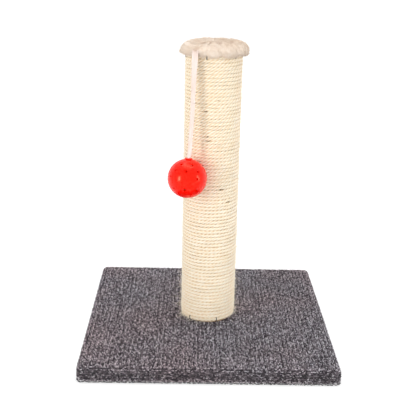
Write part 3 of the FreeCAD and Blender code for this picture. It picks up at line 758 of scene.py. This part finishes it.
# ---- rope
ROPE_RADIUS = 0.00237
ROPE_FLATNESS = 0.86
ROPE_PITCH = 0.0043
ROPE_CIRCLE = TUBE_RADIUS + 0.00209
ROPE_START_DEGREES = 180
ROPE_FIRST_HEIGHT = BASE_TOP + 0.002425
ROPE_TURNS = 77.6
ROPE_STRANDS = 3
POINTS_PER_STRAND = 6
STRAND_RADIUS = 0.53
STRAND_OFFSET = 0.47
STRAND_CREST = 0.97
LAY_LENGTH = 0.01430
ROPE_STEP = 0.00125
ROPE_LARGEST = 1.05
WINDING_UNEVEN = 0.00022
DEPTH_UNEVEN = 0.00018
# From this height on, and over this stretch, the rope's look changes as below.
UPPER_FROM = 0.10
UPPER_OVER = 0.18
UPPER_SWELL = 0.03
# Painted groove shade: high on the post the grooves between strands show more than the gaps
# between turns, and low less.
LOW_STRAND_SHADE = 0.5
HIGH_STRAND_SHADE = 1.0
HIGH_VALLEY_LOSS = 0.5
VALLEY_FROM = 0.72
VALLEY_OVER = 0.26
ROPE_PIECES = ("sisal_rope_bottom", "sisal_rope_lower", "sisal_rope_upper", "sisal_rope_top")
GAP_REACH = 0.012
# Places where two turns stand apart: degrees, height, half width in degrees and opening.
ROPE_GAPS = ((-16, 0.287, 5, 0.0019), (-11, 0.254, 5, 0.0014), (-8, 0.250, 6, 0.0014),
             (21, 0.193, 4, 0.0018), (40, 0.174, 5, 0.0017), (10, 0.300, 3, 0.0010),
             (32, 0.262, 3, 0.0011), (150, 0.120, 7, 0.0016),
             (205, 0.260, 6, 0.0015), (260, 0.160, 6, 0.0016))


def turn_near(degrees, height):
    """How far the rope has turned at an angle, on the turn nearest to a height."""
    part = ((degrees - ROPE_START_DEGREES) / 360) % 1
    whole = round((height - ROPE_FIRST_HEIGHT) / ROPE_PITCH - part)
    return whole + part


def rope_centre(turned):
    """The rope's centre line, with the small unevenness of hand winding."""
    angle = np.radians(ROPE_START_DEGREES) + 2 * np.pi * turned
    height = ROPE_FIRST_HEIGHT + ROPE_PITCH * turned
    wander = ripple(turned, (7.3, 3.1, 11.7), 1) * np.sin(angle * 2 + height * 40)
    height = height + WINDING_UNEVEN * wander
    circle = ROPE_CIRCLE + DEPTH_UNEVEN * ripple(turned, (0.37, 0.83, 2.9), 2)
    for degrees, place, width, opening in ROPE_GAPS:
        middle = ROPE_FIRST_HEIGHT + ROPE_PITCH * (turn_near(degrees, place) + 0.5)
        aside = turned_from(np.degrees(angle), degrees)
        above = height - middle
        strength = np.exp(-(aside / width) ** 2 - np.abs(above) / GAP_REACH)
        height = height + opening / 2 * np.sign(above) * strength
    return round_post(circle, angle, height)


def rope_profile():
    """The strands' outline, as angles and distances from the rope's middle."""
    reach = math.pi / ROPE_STRANDS
    angle = reach * (2 * np.arange(POINTS_PER_STRAND) / POINTS_PER_STRAND - 1)
    distance = (STRAND_OFFSET * np.cos(angle)
                + np.sqrt(STRAND_RADIUS ** 2 - (STRAND_OFFSET * np.sin(angle)) ** 2))
    turned = [angle + 2 * reach * strand for strand in range(ROPE_STRANDS)]
    return np.concatenate(turned), np.tile(distance, ROPE_STRANDS)


def make_rope_piece(node_name, first, last):
    steps = int((last - first) * 2 * math.pi * ROPE_CIRCLE / ROPE_STEP)
    turned = np.linspace(first, last, steps)
    centre = rope_centre(turned)
    ahead = unit(np.gradient(centre, axis=0))
    outward = square_to(unit(centre * (1, 1, 0)), ahead)
    other = np.cross(ahead, outward)
    length = turned * 2 * math.pi * ROPE_CIRCLE
    angle, distance = rope_profile()
    twist = -2 * math.pi * length / LAY_LENGTH + 1.5 * ripple(length, (0.31, 0.12, 0.77), 3)
    swell = 1 + 0.035 * ripple(length, (0.021, 0.047, 0.13), 4)
    strand_swell = np.stack([1 + 0.05 * ripple(length, (0.033, 0.014, 0.09), 10 + strand)
                             for strand in range(ROPE_STRANDS)], 1)
    strand_swell = np.repeat(strand_swell, POINTS_PER_STRAND, axis=1)
    upper = smooth_step((centre[:, 2:] - UPPER_FROM) / UPPER_OVER)
    full = (1 + UPPER_SWELL * upper) * ROPE_RADIUS * swell[:, None]
    radius = np.minimum(full * strand_swell * distance[None], ROPE_LARGEST * ROPE_RADIUS)
    around = angle[None] + twist[:, None]
    points = (centre[:, None]
              + (ROPE_FLATNESS * radius * np.cos(around))[:, :, None] * outward[:, None]
              + (radius * np.sin(around))[:, :, None] * other[:, None])
    rings, sides = around.shape
    piece = make_piece(node_name + "_lay", points, tube_faces(1, rings, sides), sisal)
    mark_rings(piece, "lay", ROPE_RADIUS * np.cos(angle)[None],
               ROPE_RADIUS * np.sin(angle)[None], length[:, None])
    # The groove shade is painted shade: darker in the grooves between strands and in the gaps
    # between turns.
    deep = np.clip((STRAND_CREST - distance) / (STRAND_CREST - distance.min()), 0, 1)
    valley = smooth_step((np.abs(np.sin(around)) - VALLEY_FROM) / VALLEY_OVER)
    strands = (LOW_STRAND_SHADE + (HIGH_STRAND_SHADE - LOW_STRAND_SHADE) * upper) * deep[None]
    mark(piece, "groove_shade", np.maximum(strands, (1 - HIGH_VALLEY_LOSS * upper) * valley).ravel())
    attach(piece, "root")
    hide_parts(node_name)


def make_rope():
    share = ROPE_TURNS / len(ROPE_PIECES)
    for number, node_name in enumerate(ROPE_PIECES):
        make_rope_piece(node_name, number * share, (number + 1) * share)


FUZZ_COUNT = 4800
FUZZ_RINGS = 6
FUZZ_SIDES = 3
FUZZ_RADIUS = 0.00013
FUZZ_SHORTEST = 0.0012
FUZZ_LONGEST = 0.008


def make_fuzz():
    """Loose fibres that stand off the rope, more of them low on the post."""
    chance = np.random.default_rng(21)
    low = np.sort(chance.random(FUZZ_COUNT)) ** 1.8
    start = rope_centre(low * (ROPE_TURNS - 5) + 0.3)
    outward = unit(start * (1, 1, 0))
    ahead = np.cross(UP, outward)
    roll = chance.normal(0, 0.9, FUZZ_COUNT)[:, None]
    surface = 0.93 * ROPE_RADIUS * (np.cos(roll) * outward + np.sin(roll) * UP)
    sense = chance.choice([-1.0, 1.0], FUZZ_COUNT)[:, None]
    way = unit(sense * ahead + chance.normal(0, 0.45, (FUZZ_COUNT, 3)))
    lift = chance.gamma(1.8, 0.3, FUZZ_COUNT)[:, None]
    reach = chance.gamma(3.0, 0.0012, FUZZ_COUNT)
    reach = np.clip(reach, FUZZ_SHORTEST, FUZZ_LONGEST)[:, None]
    droop = chance.normal(0, 0.25, (FUZZ_COUNT, 3))
    share = np.linspace(0, 1, FUZZ_RINGS)[None, :, None]
    off = outward[:, None] * (lift * reach)[:, None] * share
    curve = (way[:, None] * share + droop[:, None] * share ** 2 * 0.8) * reach[:, None]
    lines = start[:, None] + surface[:, None] + off + curve
    distance = np.linalg.norm(lines[:, :, :2], axis=-1, keepdims=True)
    least = ROPE_CIRCLE + 0.8 * ROPE_FLATNESS * ROPE_RADIUS
    lines[:, :, :2] *= np.maximum(least / distance, 1)
    lines[:, :, 2] = np.clip(lines[:, :, 2], BASE_TOP - 0.0005, TUBE_TOP)
    thin = np.linspace(FUZZ_RADIUS, FUZZ_RADIUS / 2, FUZZ_RINGS)
    points = tube_points(lines, np.broadcast_to(thin, lines.shape[:2]), FUZZ_SIDES, outward)
    faces = tube_faces(FUZZ_COUNT, FUZZ_RINGS, FUZZ_SIDES)
    fuzz = make_piece("sisal_fuzz", points, faces, sisal)
    mark(fuzz, "lay", points.reshape(-1, 3))
    mark(fuzz, "groove_shade", np.zeros(points.size // 3))
    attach(fuzz, "root")


make_rope()
make_fuzz()


# ---- carpet
# How far apart the loops stand: round the edge, and across and along the top.
LOOP_PITCH = 0.0020
LOOP_ACROSS = 0.0017
LOOP_ALONG = 0.0020
LOOP_HEIGHT = 0.0015
LOOP_YARN = 0.00054
LOOP_REACH = 0.4
LOOP_RINGS = 5
LOOP_SIDES = 3
# Every third column of loops is alike, and the columns differ this much in shade.
RIB_COLUMNS = 3
RIB_SHADE = 0.16
TONE_MIDDLE = 0.53
TONE_SPREAD = 0.36
PILE_DEPTH = 0.0014
CARPET_ROUND = 0.005
CORNER_RADIUS = 0.010
HEM_WIDTH = 0.030
HEM_THICKNESS = 0.003
BOARD_HALF = BASE_HALF - 0.004
BOARD_TOP = BASE_TOP - 0.004
BOLT_ROOM = 0.0043
GROUND_SIDES = 480
SIDE_BULGE = 0.0004
SIDE_CORNER = 0.007
# Rows of loops round the base: the height or tilt of each, and how much paler it is. Their tones
# hold painted shade: the lowest side row is darkened as a painted shadow under the fold, the row
# above it is paler, the other side rows are darkened as painted shade on the upright face, and
# every other edge row is darkened as painted shade between the rows.
SIDE_ROWS = ((0.0011, -0.7), (0.0033, 0.35), (0.0053, -0.16), (0.0075, -0.12), (0.0097, -0.16),
             (0.0119, -0.12), (0.0138, -0.2))
EDGE_ROWS = ((76, 0.08), (54, -0.3), (32, 0.1), (10, -0.3))
FIELD_TURN = 0.35
ROW_TURN = 0.25


def square_ring(half, radius, count):
    """Points evenly along a square with round corners, and their outward directions."""
    radius = min(max(radius, 1e-5), half)
    straight = 2 * (half - radius)
    quarter = math.pi / 2 * radius
    distance = np.arange(count) / count * 4 * (straight + quarter)
    side, rest = np.divmod(distance + 1e-12, straight + quarter)
    turn = np.clip((rest - straight) / radius, 0, math.pi / 2)
    ahead = np.minimum(rest, straight) - straight / 2
    way = np.stack([np.sin(turn), -np.cos(turn)], -1)
    spot = np.stack([ahead, 0 * ahead - half + radius], -1) + radius * way
    cosine, sine = np.cos(math.pi / 2 * side), np.sin(math.pi / 2 * side)

    def spun(pairs):
        return np.stack([cosine * pairs[:, 0] - sine * pairs[:, 1],
                         sine * pairs[:, 0] + cosine * pairs[:, 1]], -1)
    return spun(spot), spun(way)


def skirt(inset, height, tilt, tone):
    """Loops round the base at one height: places, normals, directions, tones and how far
    each may turn."""
    half, radius = BASE_HALF - inset, SIDE_CORNER - inset
    count = int((8 * half - 2 * radius) / LOOP_PITCH)
    spots, ways = square_ring(half, radius, count)
    level = np.zeros(count)
    places = np.column_stack([spots, level + height])
    normals = np.column_stack([ways * math.cos(tilt), level + math.sin(tilt)])
    rows = np.column_stack([-ways[:, 1], ways[:, 0], level])
    return places, normals, rows, level + tone, level + ROW_TURN


def loop_field():
    """Loops on the top, clear of the post."""
    inner = BASE_HALF - CARPET_ROUND
    columns = np.arange(int(2 * inner / LOOP_ACROSS))
    rows = np.arange(int(2 * inner / LOOP_ALONG))
    across, along = np.meshgrid((columns - columns.mean()) * LOOP_ACROSS,
                                (rows - rows.mean()) * LOOP_ALONG)
    along = along + (columns % 2 - 0.5) * 0.5 * LOOP_ALONG
    field = np.column_stack([across.ravel(), along.ravel(), np.full(across.size, BASE_TOP)])
    rib = np.broadcast_to(RIB_SHADE * np.sin(columns * 2 * np.pi / RIB_COLUMNS), across.shape)
    rib = rib.ravel()
    clear = np.hypot(field[:, 0], field[:, 1]) > TUBE_RADIUS - 0.001
    field, rib = field[clear], rib[clear]
    ways = np.tile([0.0, 1.0, 0.0], (len(field), 1))
    return field, np.tile(UP, (len(field), 1)), ways, rib, 0 * rib + FIELD_TURN


def loop_places():
    """Where each loop stands: a field on the top, and rows round the edge."""
    sets = [loop_field()]
    for degrees, tone in EDGE_ROWS:
        tilt = math.radians(degrees)
        inset = CARPET_ROUND * (1 - math.cos(tilt))
        height = BASE_TOP - CARPET_ROUND * (1 - math.sin(tilt))
        sets.append(skirt(inset, height, tilt, tone))
    for height, tone in SIDE_ROWS:
        sets.append(skirt(-SIDE_BULGE, height, 0, tone))
    return [np.concatenate(parts) for parts in zip(*sets)]


def make_pile(name, places, normals, ways, shades, turns, seed):
    """Yarn loops, each an uneven arch that stands on the carpet's ground."""
    count = len(places)
    chance = np.random.default_rng(seed)
    ways = unit(ways + turns[:, None] * chance.normal(0, 1, (count, 3)))
    normals = unit(normals + 0.2 * chance.normal(0, 1, (count, 3)))
    ways = square_to(ways, normals)
    tall = LOOP_HEIGHT * chance.uniform(0.78, 1.04, count)[:, None]
    long = LOOP_REACH * LOOP_PITCH * chance.uniform(0.8, 1.2, count)[:, None]
    ground = places - normals * (LOOP_HEIGHT + 0.5 * LOOP_YARN)
    ground = ground + ways * chance.normal(0, 0.0004, (count, 1))
    turn = np.linspace(0, math.pi, LOOP_RINGS)[None, :, None]
    lines = (ground[:, None] + ways[:, None] * long[:, None] * -np.cos(turn)
             + normals[:, None] * tall[:, None] * np.sin(turn) ** 0.8)
    radii = LOOP_YARN * chance.uniform(0.8, 1.15, count)[:, None] * np.ones((1, LOOP_RINGS))
    points = tube_points(lines, radii, LOOP_SIDES, np.cross(ways, normals))
    points[..., 2] = np.maximum(points[..., 2], 0.0001)
    pile = make_piece(name, points, tube_faces(count, LOOP_RINGS, LOOP_SIDES), yarn)
    # Each loop's tone: random, plus its column's rib and its row's tone, which round the base is
    # painted shade.
    tone = np.clip(chance.normal(TONE_MIDDLE, TONE_SPREAD, count) + shades, 0, 1)
    mark(pile, "tone", np.repeat(tone, LOOP_RINGS * LOOP_SIDES))
    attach(pile, "root")


def ground_profile():
    """The carpet's ground as rings of half size, corner radius and height: over the top,
    round the edge, under the board and back over it."""
    outer = BASE_HALF - PILE_DEPTH
    corner = CORNER_RADIUS - PILE_DEPTH
    bend = CARPET_ROUND - PILE_DEPTH
    top = BASE_TOP - PILE_DEPTH
    hem = 0.0009
    fold = 0.0015
    window = BOARD_HALF - HEM_WIDTH
    inner = BOARD_HALF - 0.0002
    rows = [(BOLT_ROOM, BOLT_ROOM, top), (0.040, BOLT_ROOM, top), (0.100, 0.006, top)]
    for turn in np.linspace(0, math.pi / 2, 7):
        rows.append((outer - bend * (1 - math.sin(turn)), corner,
                     top - bend * (1 - math.cos(turn))))
    for height in (0.012, 0.008, 0.004):
        rows.append((outer, corner, height))
    for turn in np.linspace(0, math.pi / 2, 4):
        rows.append((outer - fold * (1 - math.cos(turn)), corner,
                     hem + fold * (1 - math.sin(turn))))
    rows.extend([(window + 0.018, 0.004, hem), (window + 0.008, 0.002, hem + 0.0001),
                 (window, 0.0005, 0.0004), (window - 0.0002, 0.0005, HEM_THICKNESS - 0.0002),
                 (inner - 0.001, 0.006, HEM_THICKNESS), (inner, 0.006, HEM_THICKNESS + 0.001),
                 (inner, 0.006, BOARD_TOP - 0.001), (inner - 0.001, 0.006, BOARD_TOP),
                 (0.050, 0.005, BOARD_TOP), (BOLT_ROOM, BOLT_ROOM, BOARD_TOP)])
    return rows


def make_ground():
    rings = []
    for half, radius, height in ground_profile():
        spots, _ = square_ring(half, radius, GROUND_SIDES)
        rings.append(np.column_stack([spots, np.full(GROUND_SIDES, height)]))
    rings.append(rings[0])
    count = (len(rings) - 1) * GROUND_SIDES
    faces = skin_faces(len(rings), GROUND_SIDES)[:, ::-1] % count
    points = np.concatenate(rings[:-1])
    ground = make_piece("carpet_ground", points, faces.tolist(), backing)
    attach(ground, "root")
    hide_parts("carpet_cover")


def make_carpet():
    make_ground()
    loops = loop_places()
    quarter = 2 * (loops[0][:, 0] > 0) + (loops[0][:, 1] > 0)
    for number, name in enumerate(("front_left", "back_left", "front_right", "back_right")):
        chosen = [part[quarter == number] for part in loops]
        make_pile("carpet_pile_" + name, *chosen, 31 + number)


make_carpet()


# ---- cap
# Where one lobe of plush meets the next, and how much lower each lobe's edge hangs.
LOBE_EDGES = (-90, -28, -14, 11, 46, 92, 134, 178, 223, 270)
LOBE_DROPS = (-0.0013, -0.0004, 0.0005, 0.0005, -0.0003, 0.0006, -0.0004, 0.0003, -0.0002)
LOBE_SWELL = 0.0018
CREASE_RISE = 0.0026
PUCKER_DEPTH = 0.0024
CAP_RINGS = 64
CAP_SIDES = 320
FLAP_LOW = cap_low.z
FLAP_INNER = 0.0350
FUR_DEPTH = 0.0011
# The plush stands out over the strap's fold, round one place on its rim.
STRAP_BULGE = 0.0048
BULGE_DEGREES = -31.5
BULGE_WIDTH = 9
RIM_SHARE = 0.335
RIM_WIDTH = 0.055
# The plush slopes lower on the side where the strap hangs.
LOW_SIDE = -80
LOW_SIDE_WIDTH = 42
LOW_SIDE_DROP = 0.0022
LOW_SIDE_INSET = 0.0012
WRINKLE_HEIGHT = 0.0007
EDGE_UNEVEN = 0.0004
HEM_POWER = 0.6
HEM_RISE = 0.9
PADDING_RADIUS = 0.0335
PADDING_ROUND = 0.0006
FUR_COUNT = 8000
FUR_RINGS = 4
FUR_SIDES = 3
FUR_LENGTH = 0.0038
FUR_ROOT = 0.00012
FUR_TIP = 0.00003


def lobe_at(degrees):
    """How full the plush is at an angle, 1 in a lobe's middle and 0 in a crease, and how
    much lower that lobe hangs."""
    turned = (degrees + 90) % 360 - 90
    full = np.zeros(np.shape(turned))
    drop = np.zeros(np.shape(turned))
    for low, high, lower in zip(LOBE_EDGES, LOBE_EDGES[1:], LOBE_DROPS):
        inside = (turned >= low) & (turned < high)
        share = np.clip((turned - low) / (high - low), 0, 1)
        arch = np.sin(np.pi * share) ** 0.55
        full = np.where(inside, arch, full)
        drop = np.where(inside, lower * arch, drop)
    return full, drop


def cap_profile():
    """The plush from inside the flap, round its hem, up, over the crest to the middle."""
    outer = CAP_RADIUS - FUR_DEPTH
    hem = 0.5 * (outer + FLAP_INNER)
    half = 0.5 * (outer - FLAP_INNER)
    rows = [(FLAP_INNER, TUBE_TOP + 0.003), (FLAP_INNER, TUBE_TOP - 0.002)]
    for turn in np.linspace(0, math.pi, 9):
        side = math.copysign(abs(math.cos(turn)) ** HEM_POWER, math.cos(turn))
        rise = HEM_RISE - math.sin(turn) ** HEM_POWER
        rows.append((hem - half * side, FLAP_LOW + half * rise))
    rows.extend([(outer + 0.0003, TUBE_TOP - 0.0025), (outer - 0.0002, TUBE_TOP + 0.0002),
                 (outer - 0.0016, TUBE_TOP + 0.0028), (outer - 0.0048, TUBE_TOP + 0.0051),
                 (outer - 0.0098, TUBE_TOP + 0.0064), (0.0240, TUBE_TOP + 0.0079),
                 (0.0170, TUBE_TOP + 0.0080), (0.0100, TUBE_TOP + 0.0072),
                 (0.0045, TUBE_TOP + 0.0066), (0.0004, TUBE_TOP + 0.0064)])
    return np.array(rows)


def resample(rows, count):
    """Rows of an outline at even steps along it, and how far along each lies."""
    wanted = np.linspace(0, distances(rows)[-1], count)
    even = read_line(rows, wanted)
    soften(even)
    return even, wanted / wanted[-1]


def cap_surface():
    """The plush body's points, and its tone, which is painted shade: darker deep in a crease, in
    the dips of the top's wrinkles and over the strap's fold.
    """
    rows, share = resample(cap_profile(), CAP_RINGS)
    degrees = (np.arange(CAP_SIDES) * 360 / CAP_SIDES)[None]
    turn = np.radians(degrees)
    full, lower = lobe_at(degrees)
    radius, height = rows[:, :1], rows[:, 1:]
    on_side = smooth_step((share - 0.18) / 0.12)[:, None]
    on_top = smooth_step((share - 0.5) / 0.15)[:, None]
    on_hem = (1 - smooth_step((share - 0.12) / 0.34))[:, None]
    inward = smooth_step(radius / 0.024)
    rim = bell(share - RIM_SHARE, RIM_WIDTH)[:, None]
    left = (bell(turned_from(degrees, LOW_SIDE), LOW_SIDE_WIDTH)
            * smooth_step((share - 0.2) / 0.12)[:, None] * smooth_step((radius - 0.012) / 0.02))
    near_strap = bell(turned_from(degrees, BULGE_DEGREES), BULGE_WIDTH)
    wrinkle = np.sin(5 * turn + 420 * radius) * np.sin(3 * turn - 260 * radius + 1)
    height = (height - on_hem * lower + on_hem * CREASE_RISE * (1 - full)
              - PUCKER_DEPTH * (1 - full) * on_top * inward + WRINKLE_HEIGHT * wrinkle * on_top
              - LOW_SIDE_DROP * left)
    uneven = EDGE_UNEVEN * ripple(degrees / 360, (0.5, 0.25, 0.2, 1 / 7), 41)
    radius = (radius + LOBE_SWELL * (full - 0.8) * on_side * (1 - 0.6 * on_top) * inward
              - LOW_SIDE_INSET * left + STRAP_BULGE * near_strap * rim
              + uneven * on_side * inward)
    points = round_post(radius, turn, height)
    # Painted shade: the plush darkens in its creases, over the strap's fold and in the dips of
    # the wrinkles on top.
    crease_shade = (1 - full) * (0.2 + 0.8 * on_top * inward) + 0.45 * near_strap * rim
    dip_shade = np.clip(0.5 - 0.7 * wrinkle, 0, 1) * on_top
    tone = np.clip(1 - crease_shade - 0.35 * dip_shade, 0, 1)
    return points, tone


def scatter(points, quads, count, chance):
    """Random places on quads, by their area, with normals."""
    a, b, c, d = (points[quads[:, side]] for side in range(4))
    normal = np.cross(c - a, d - b)
    area = np.linalg.norm(normal, axis=1)
    chosen = chance.choice(len(quads), count, p=area / area.sum())
    u, v = chance.random((2, count, 1))
    place = ((1 - u) * (1 - v) * a[chosen] + u * (1 - v) * b[chosen]
             + u * v * c[chosen] + (1 - u) * v * d[chosen])
    return place, unit(normal[chosen]), chosen


def make_fur(name, points, tone, quads, seed):
    """Short soft hairs that lie down over the plush."""
    chance = np.random.default_rng(seed)
    place, normal, chosen = scatter(points, quads, FUR_COUNT, chance)
    outward = unit(place * (1, 1, 0))
    fall = square_to(0.6 * outward - UP, normal)
    swirl = np.sin(place @ np.array([[900, 400, 600], [300, 800, 500], [500, 700, 900]]))
    lean = unit(fall + 0.25 * swirl + chance.normal(0, 0.25, (FUR_COUNT, 3)))
    reach = (FUR_LENGTH * chance.uniform(0.6, 1.15, FUR_COUNT))[:, None, None]
    share = np.linspace(0, 1, FUR_RINGS)[None, :, None]
    lines = place[:, None] + reach * (normal[:, None] * (0.55 * share - 0.27 * share ** 2)
                                      + lean[:, None] * 0.78 * share ** 1.5)
    lines = lines - 0.0004 * normal[:, None] * (1 - share)
    thin = np.broadcast_to(np.linspace(FUR_ROOT, FUR_TIP, FUR_RINGS), lines.shape[:2])
    hair = tube_points(lines, thin, FUR_SIDES, np.cross(normal, lean))
    fur = make_piece(name, hair, tube_faces(FUR_COUNT, FUR_RINGS, FUR_SIDES), plush)
    # The hairs take the painted shade of the plush under them.
    mark(fur, "tone", np.repeat(tone[quads[chosen, 0]], FUR_RINGS * FUR_SIDES))
    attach(fur, "root")


def lidded(rings, sides):
    """Faces of a skin whose first and last rings close on a point each, after the rings."""
    ring = np.arange(sides)
    following = np.roll(ring, -1)
    last = (rings - 1) * sides
    middle = rings * sides + 0 * ring
    under = np.stack([following, ring, middle], 1)
    over = np.stack([last + ring, last + following, middle + 1], 1)
    return skin_faces(rings, sides).tolist() + under.tolist() + over.tolist()


def make_turned(name, points, material, tones):
    """A round soft piece from rings of points."""
    rings, sides = points.shape[:2]
    ends = np.array([points[0].mean(0), points[-1].mean(0)])
    body = make_piece(name, np.concatenate([points.reshape(-1, 3), ends]),
                      lidded(rings, sides), material)
    mark(body, "tone", np.concatenate([tones.ravel(), [1, 1]]))
    return body


def make_cap():
    points, tone = cap_surface()
    body = make_turned("plush_body", points, plush, tone)
    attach(body, "root")
    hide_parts("plush_cap")
    quads = skin_faces(CAP_RINGS, CAP_SIDES)
    quads = quads[len(quads) // 6:]
    left = points.reshape(-1, 3)[quads[:, 0], 0] < 0
    make_fur("plush_fur_left", points.reshape(-1, 3), tone.ravel(), quads[left], 51)
    make_fur("plush_fur_right", points.reshape(-1, 3), tone.ravel(), quads[~left], 52)


def make_padding():
    """A foam disc with soft edges, under the plush."""
    low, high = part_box("cap_padding")
    edge = PADDING_ROUND
    rows = np.array([(0.001, low.z), (0.020, low.z), (PADDING_RADIUS - edge, low.z),
                     (PADDING_RADIUS, low.z + edge), (PADDING_RADIUS, high.z - edge),
                     (PADDING_RADIUS - edge, high.z), (0.020, high.z), (0.001, high.z)])
    even, _ = resample(rows, 40)
    turn = np.linspace(0, 2 * np.pi, 160, endpoint=False)[None]
    wave = 0.00012 * np.sin(7 * turn + 300 * even[:, :1]) * np.sin(4 * turn)
    radius = even[:, :1] + 0.5 * wave
    height = np.clip(even[:, 1:] + wave, low.z, high.z)
    points = round_post(radius, turn, height)
    disc = make_turned("foam_disc", points, foam, np.ones(points.shape[:2]))
    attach(disc, "root")
    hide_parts("cap_padding")


make_cap()
make_padding()


# ---- pieces from the frame
FINISHES = (
    (board_wood, ("base_board",)),
    (plug_wood, ("bottom_plug", "top_plug")),
    (tube_card, ("post_tube",)),
    (zinc_steel, ("post_bolt", "bolt_washer", "threaded_insert", "bell_pellet")),
    (staple_steel, ("carpet_staples", "bottom_plug_staples", "top_plug_staples")),
    (dark_staple, ("rope_staples_bottom", "rope_staples_top", "strap_staple")),
    (red_plastic, ("ball_upper_half", "ball_lower_half")),
    (bell_metal, ("jingle_bell",)),
)

for material, names in FINISHES:
    for name in names:
        for slot in frame["nodes"][name].material_slots:
            slot.material = material
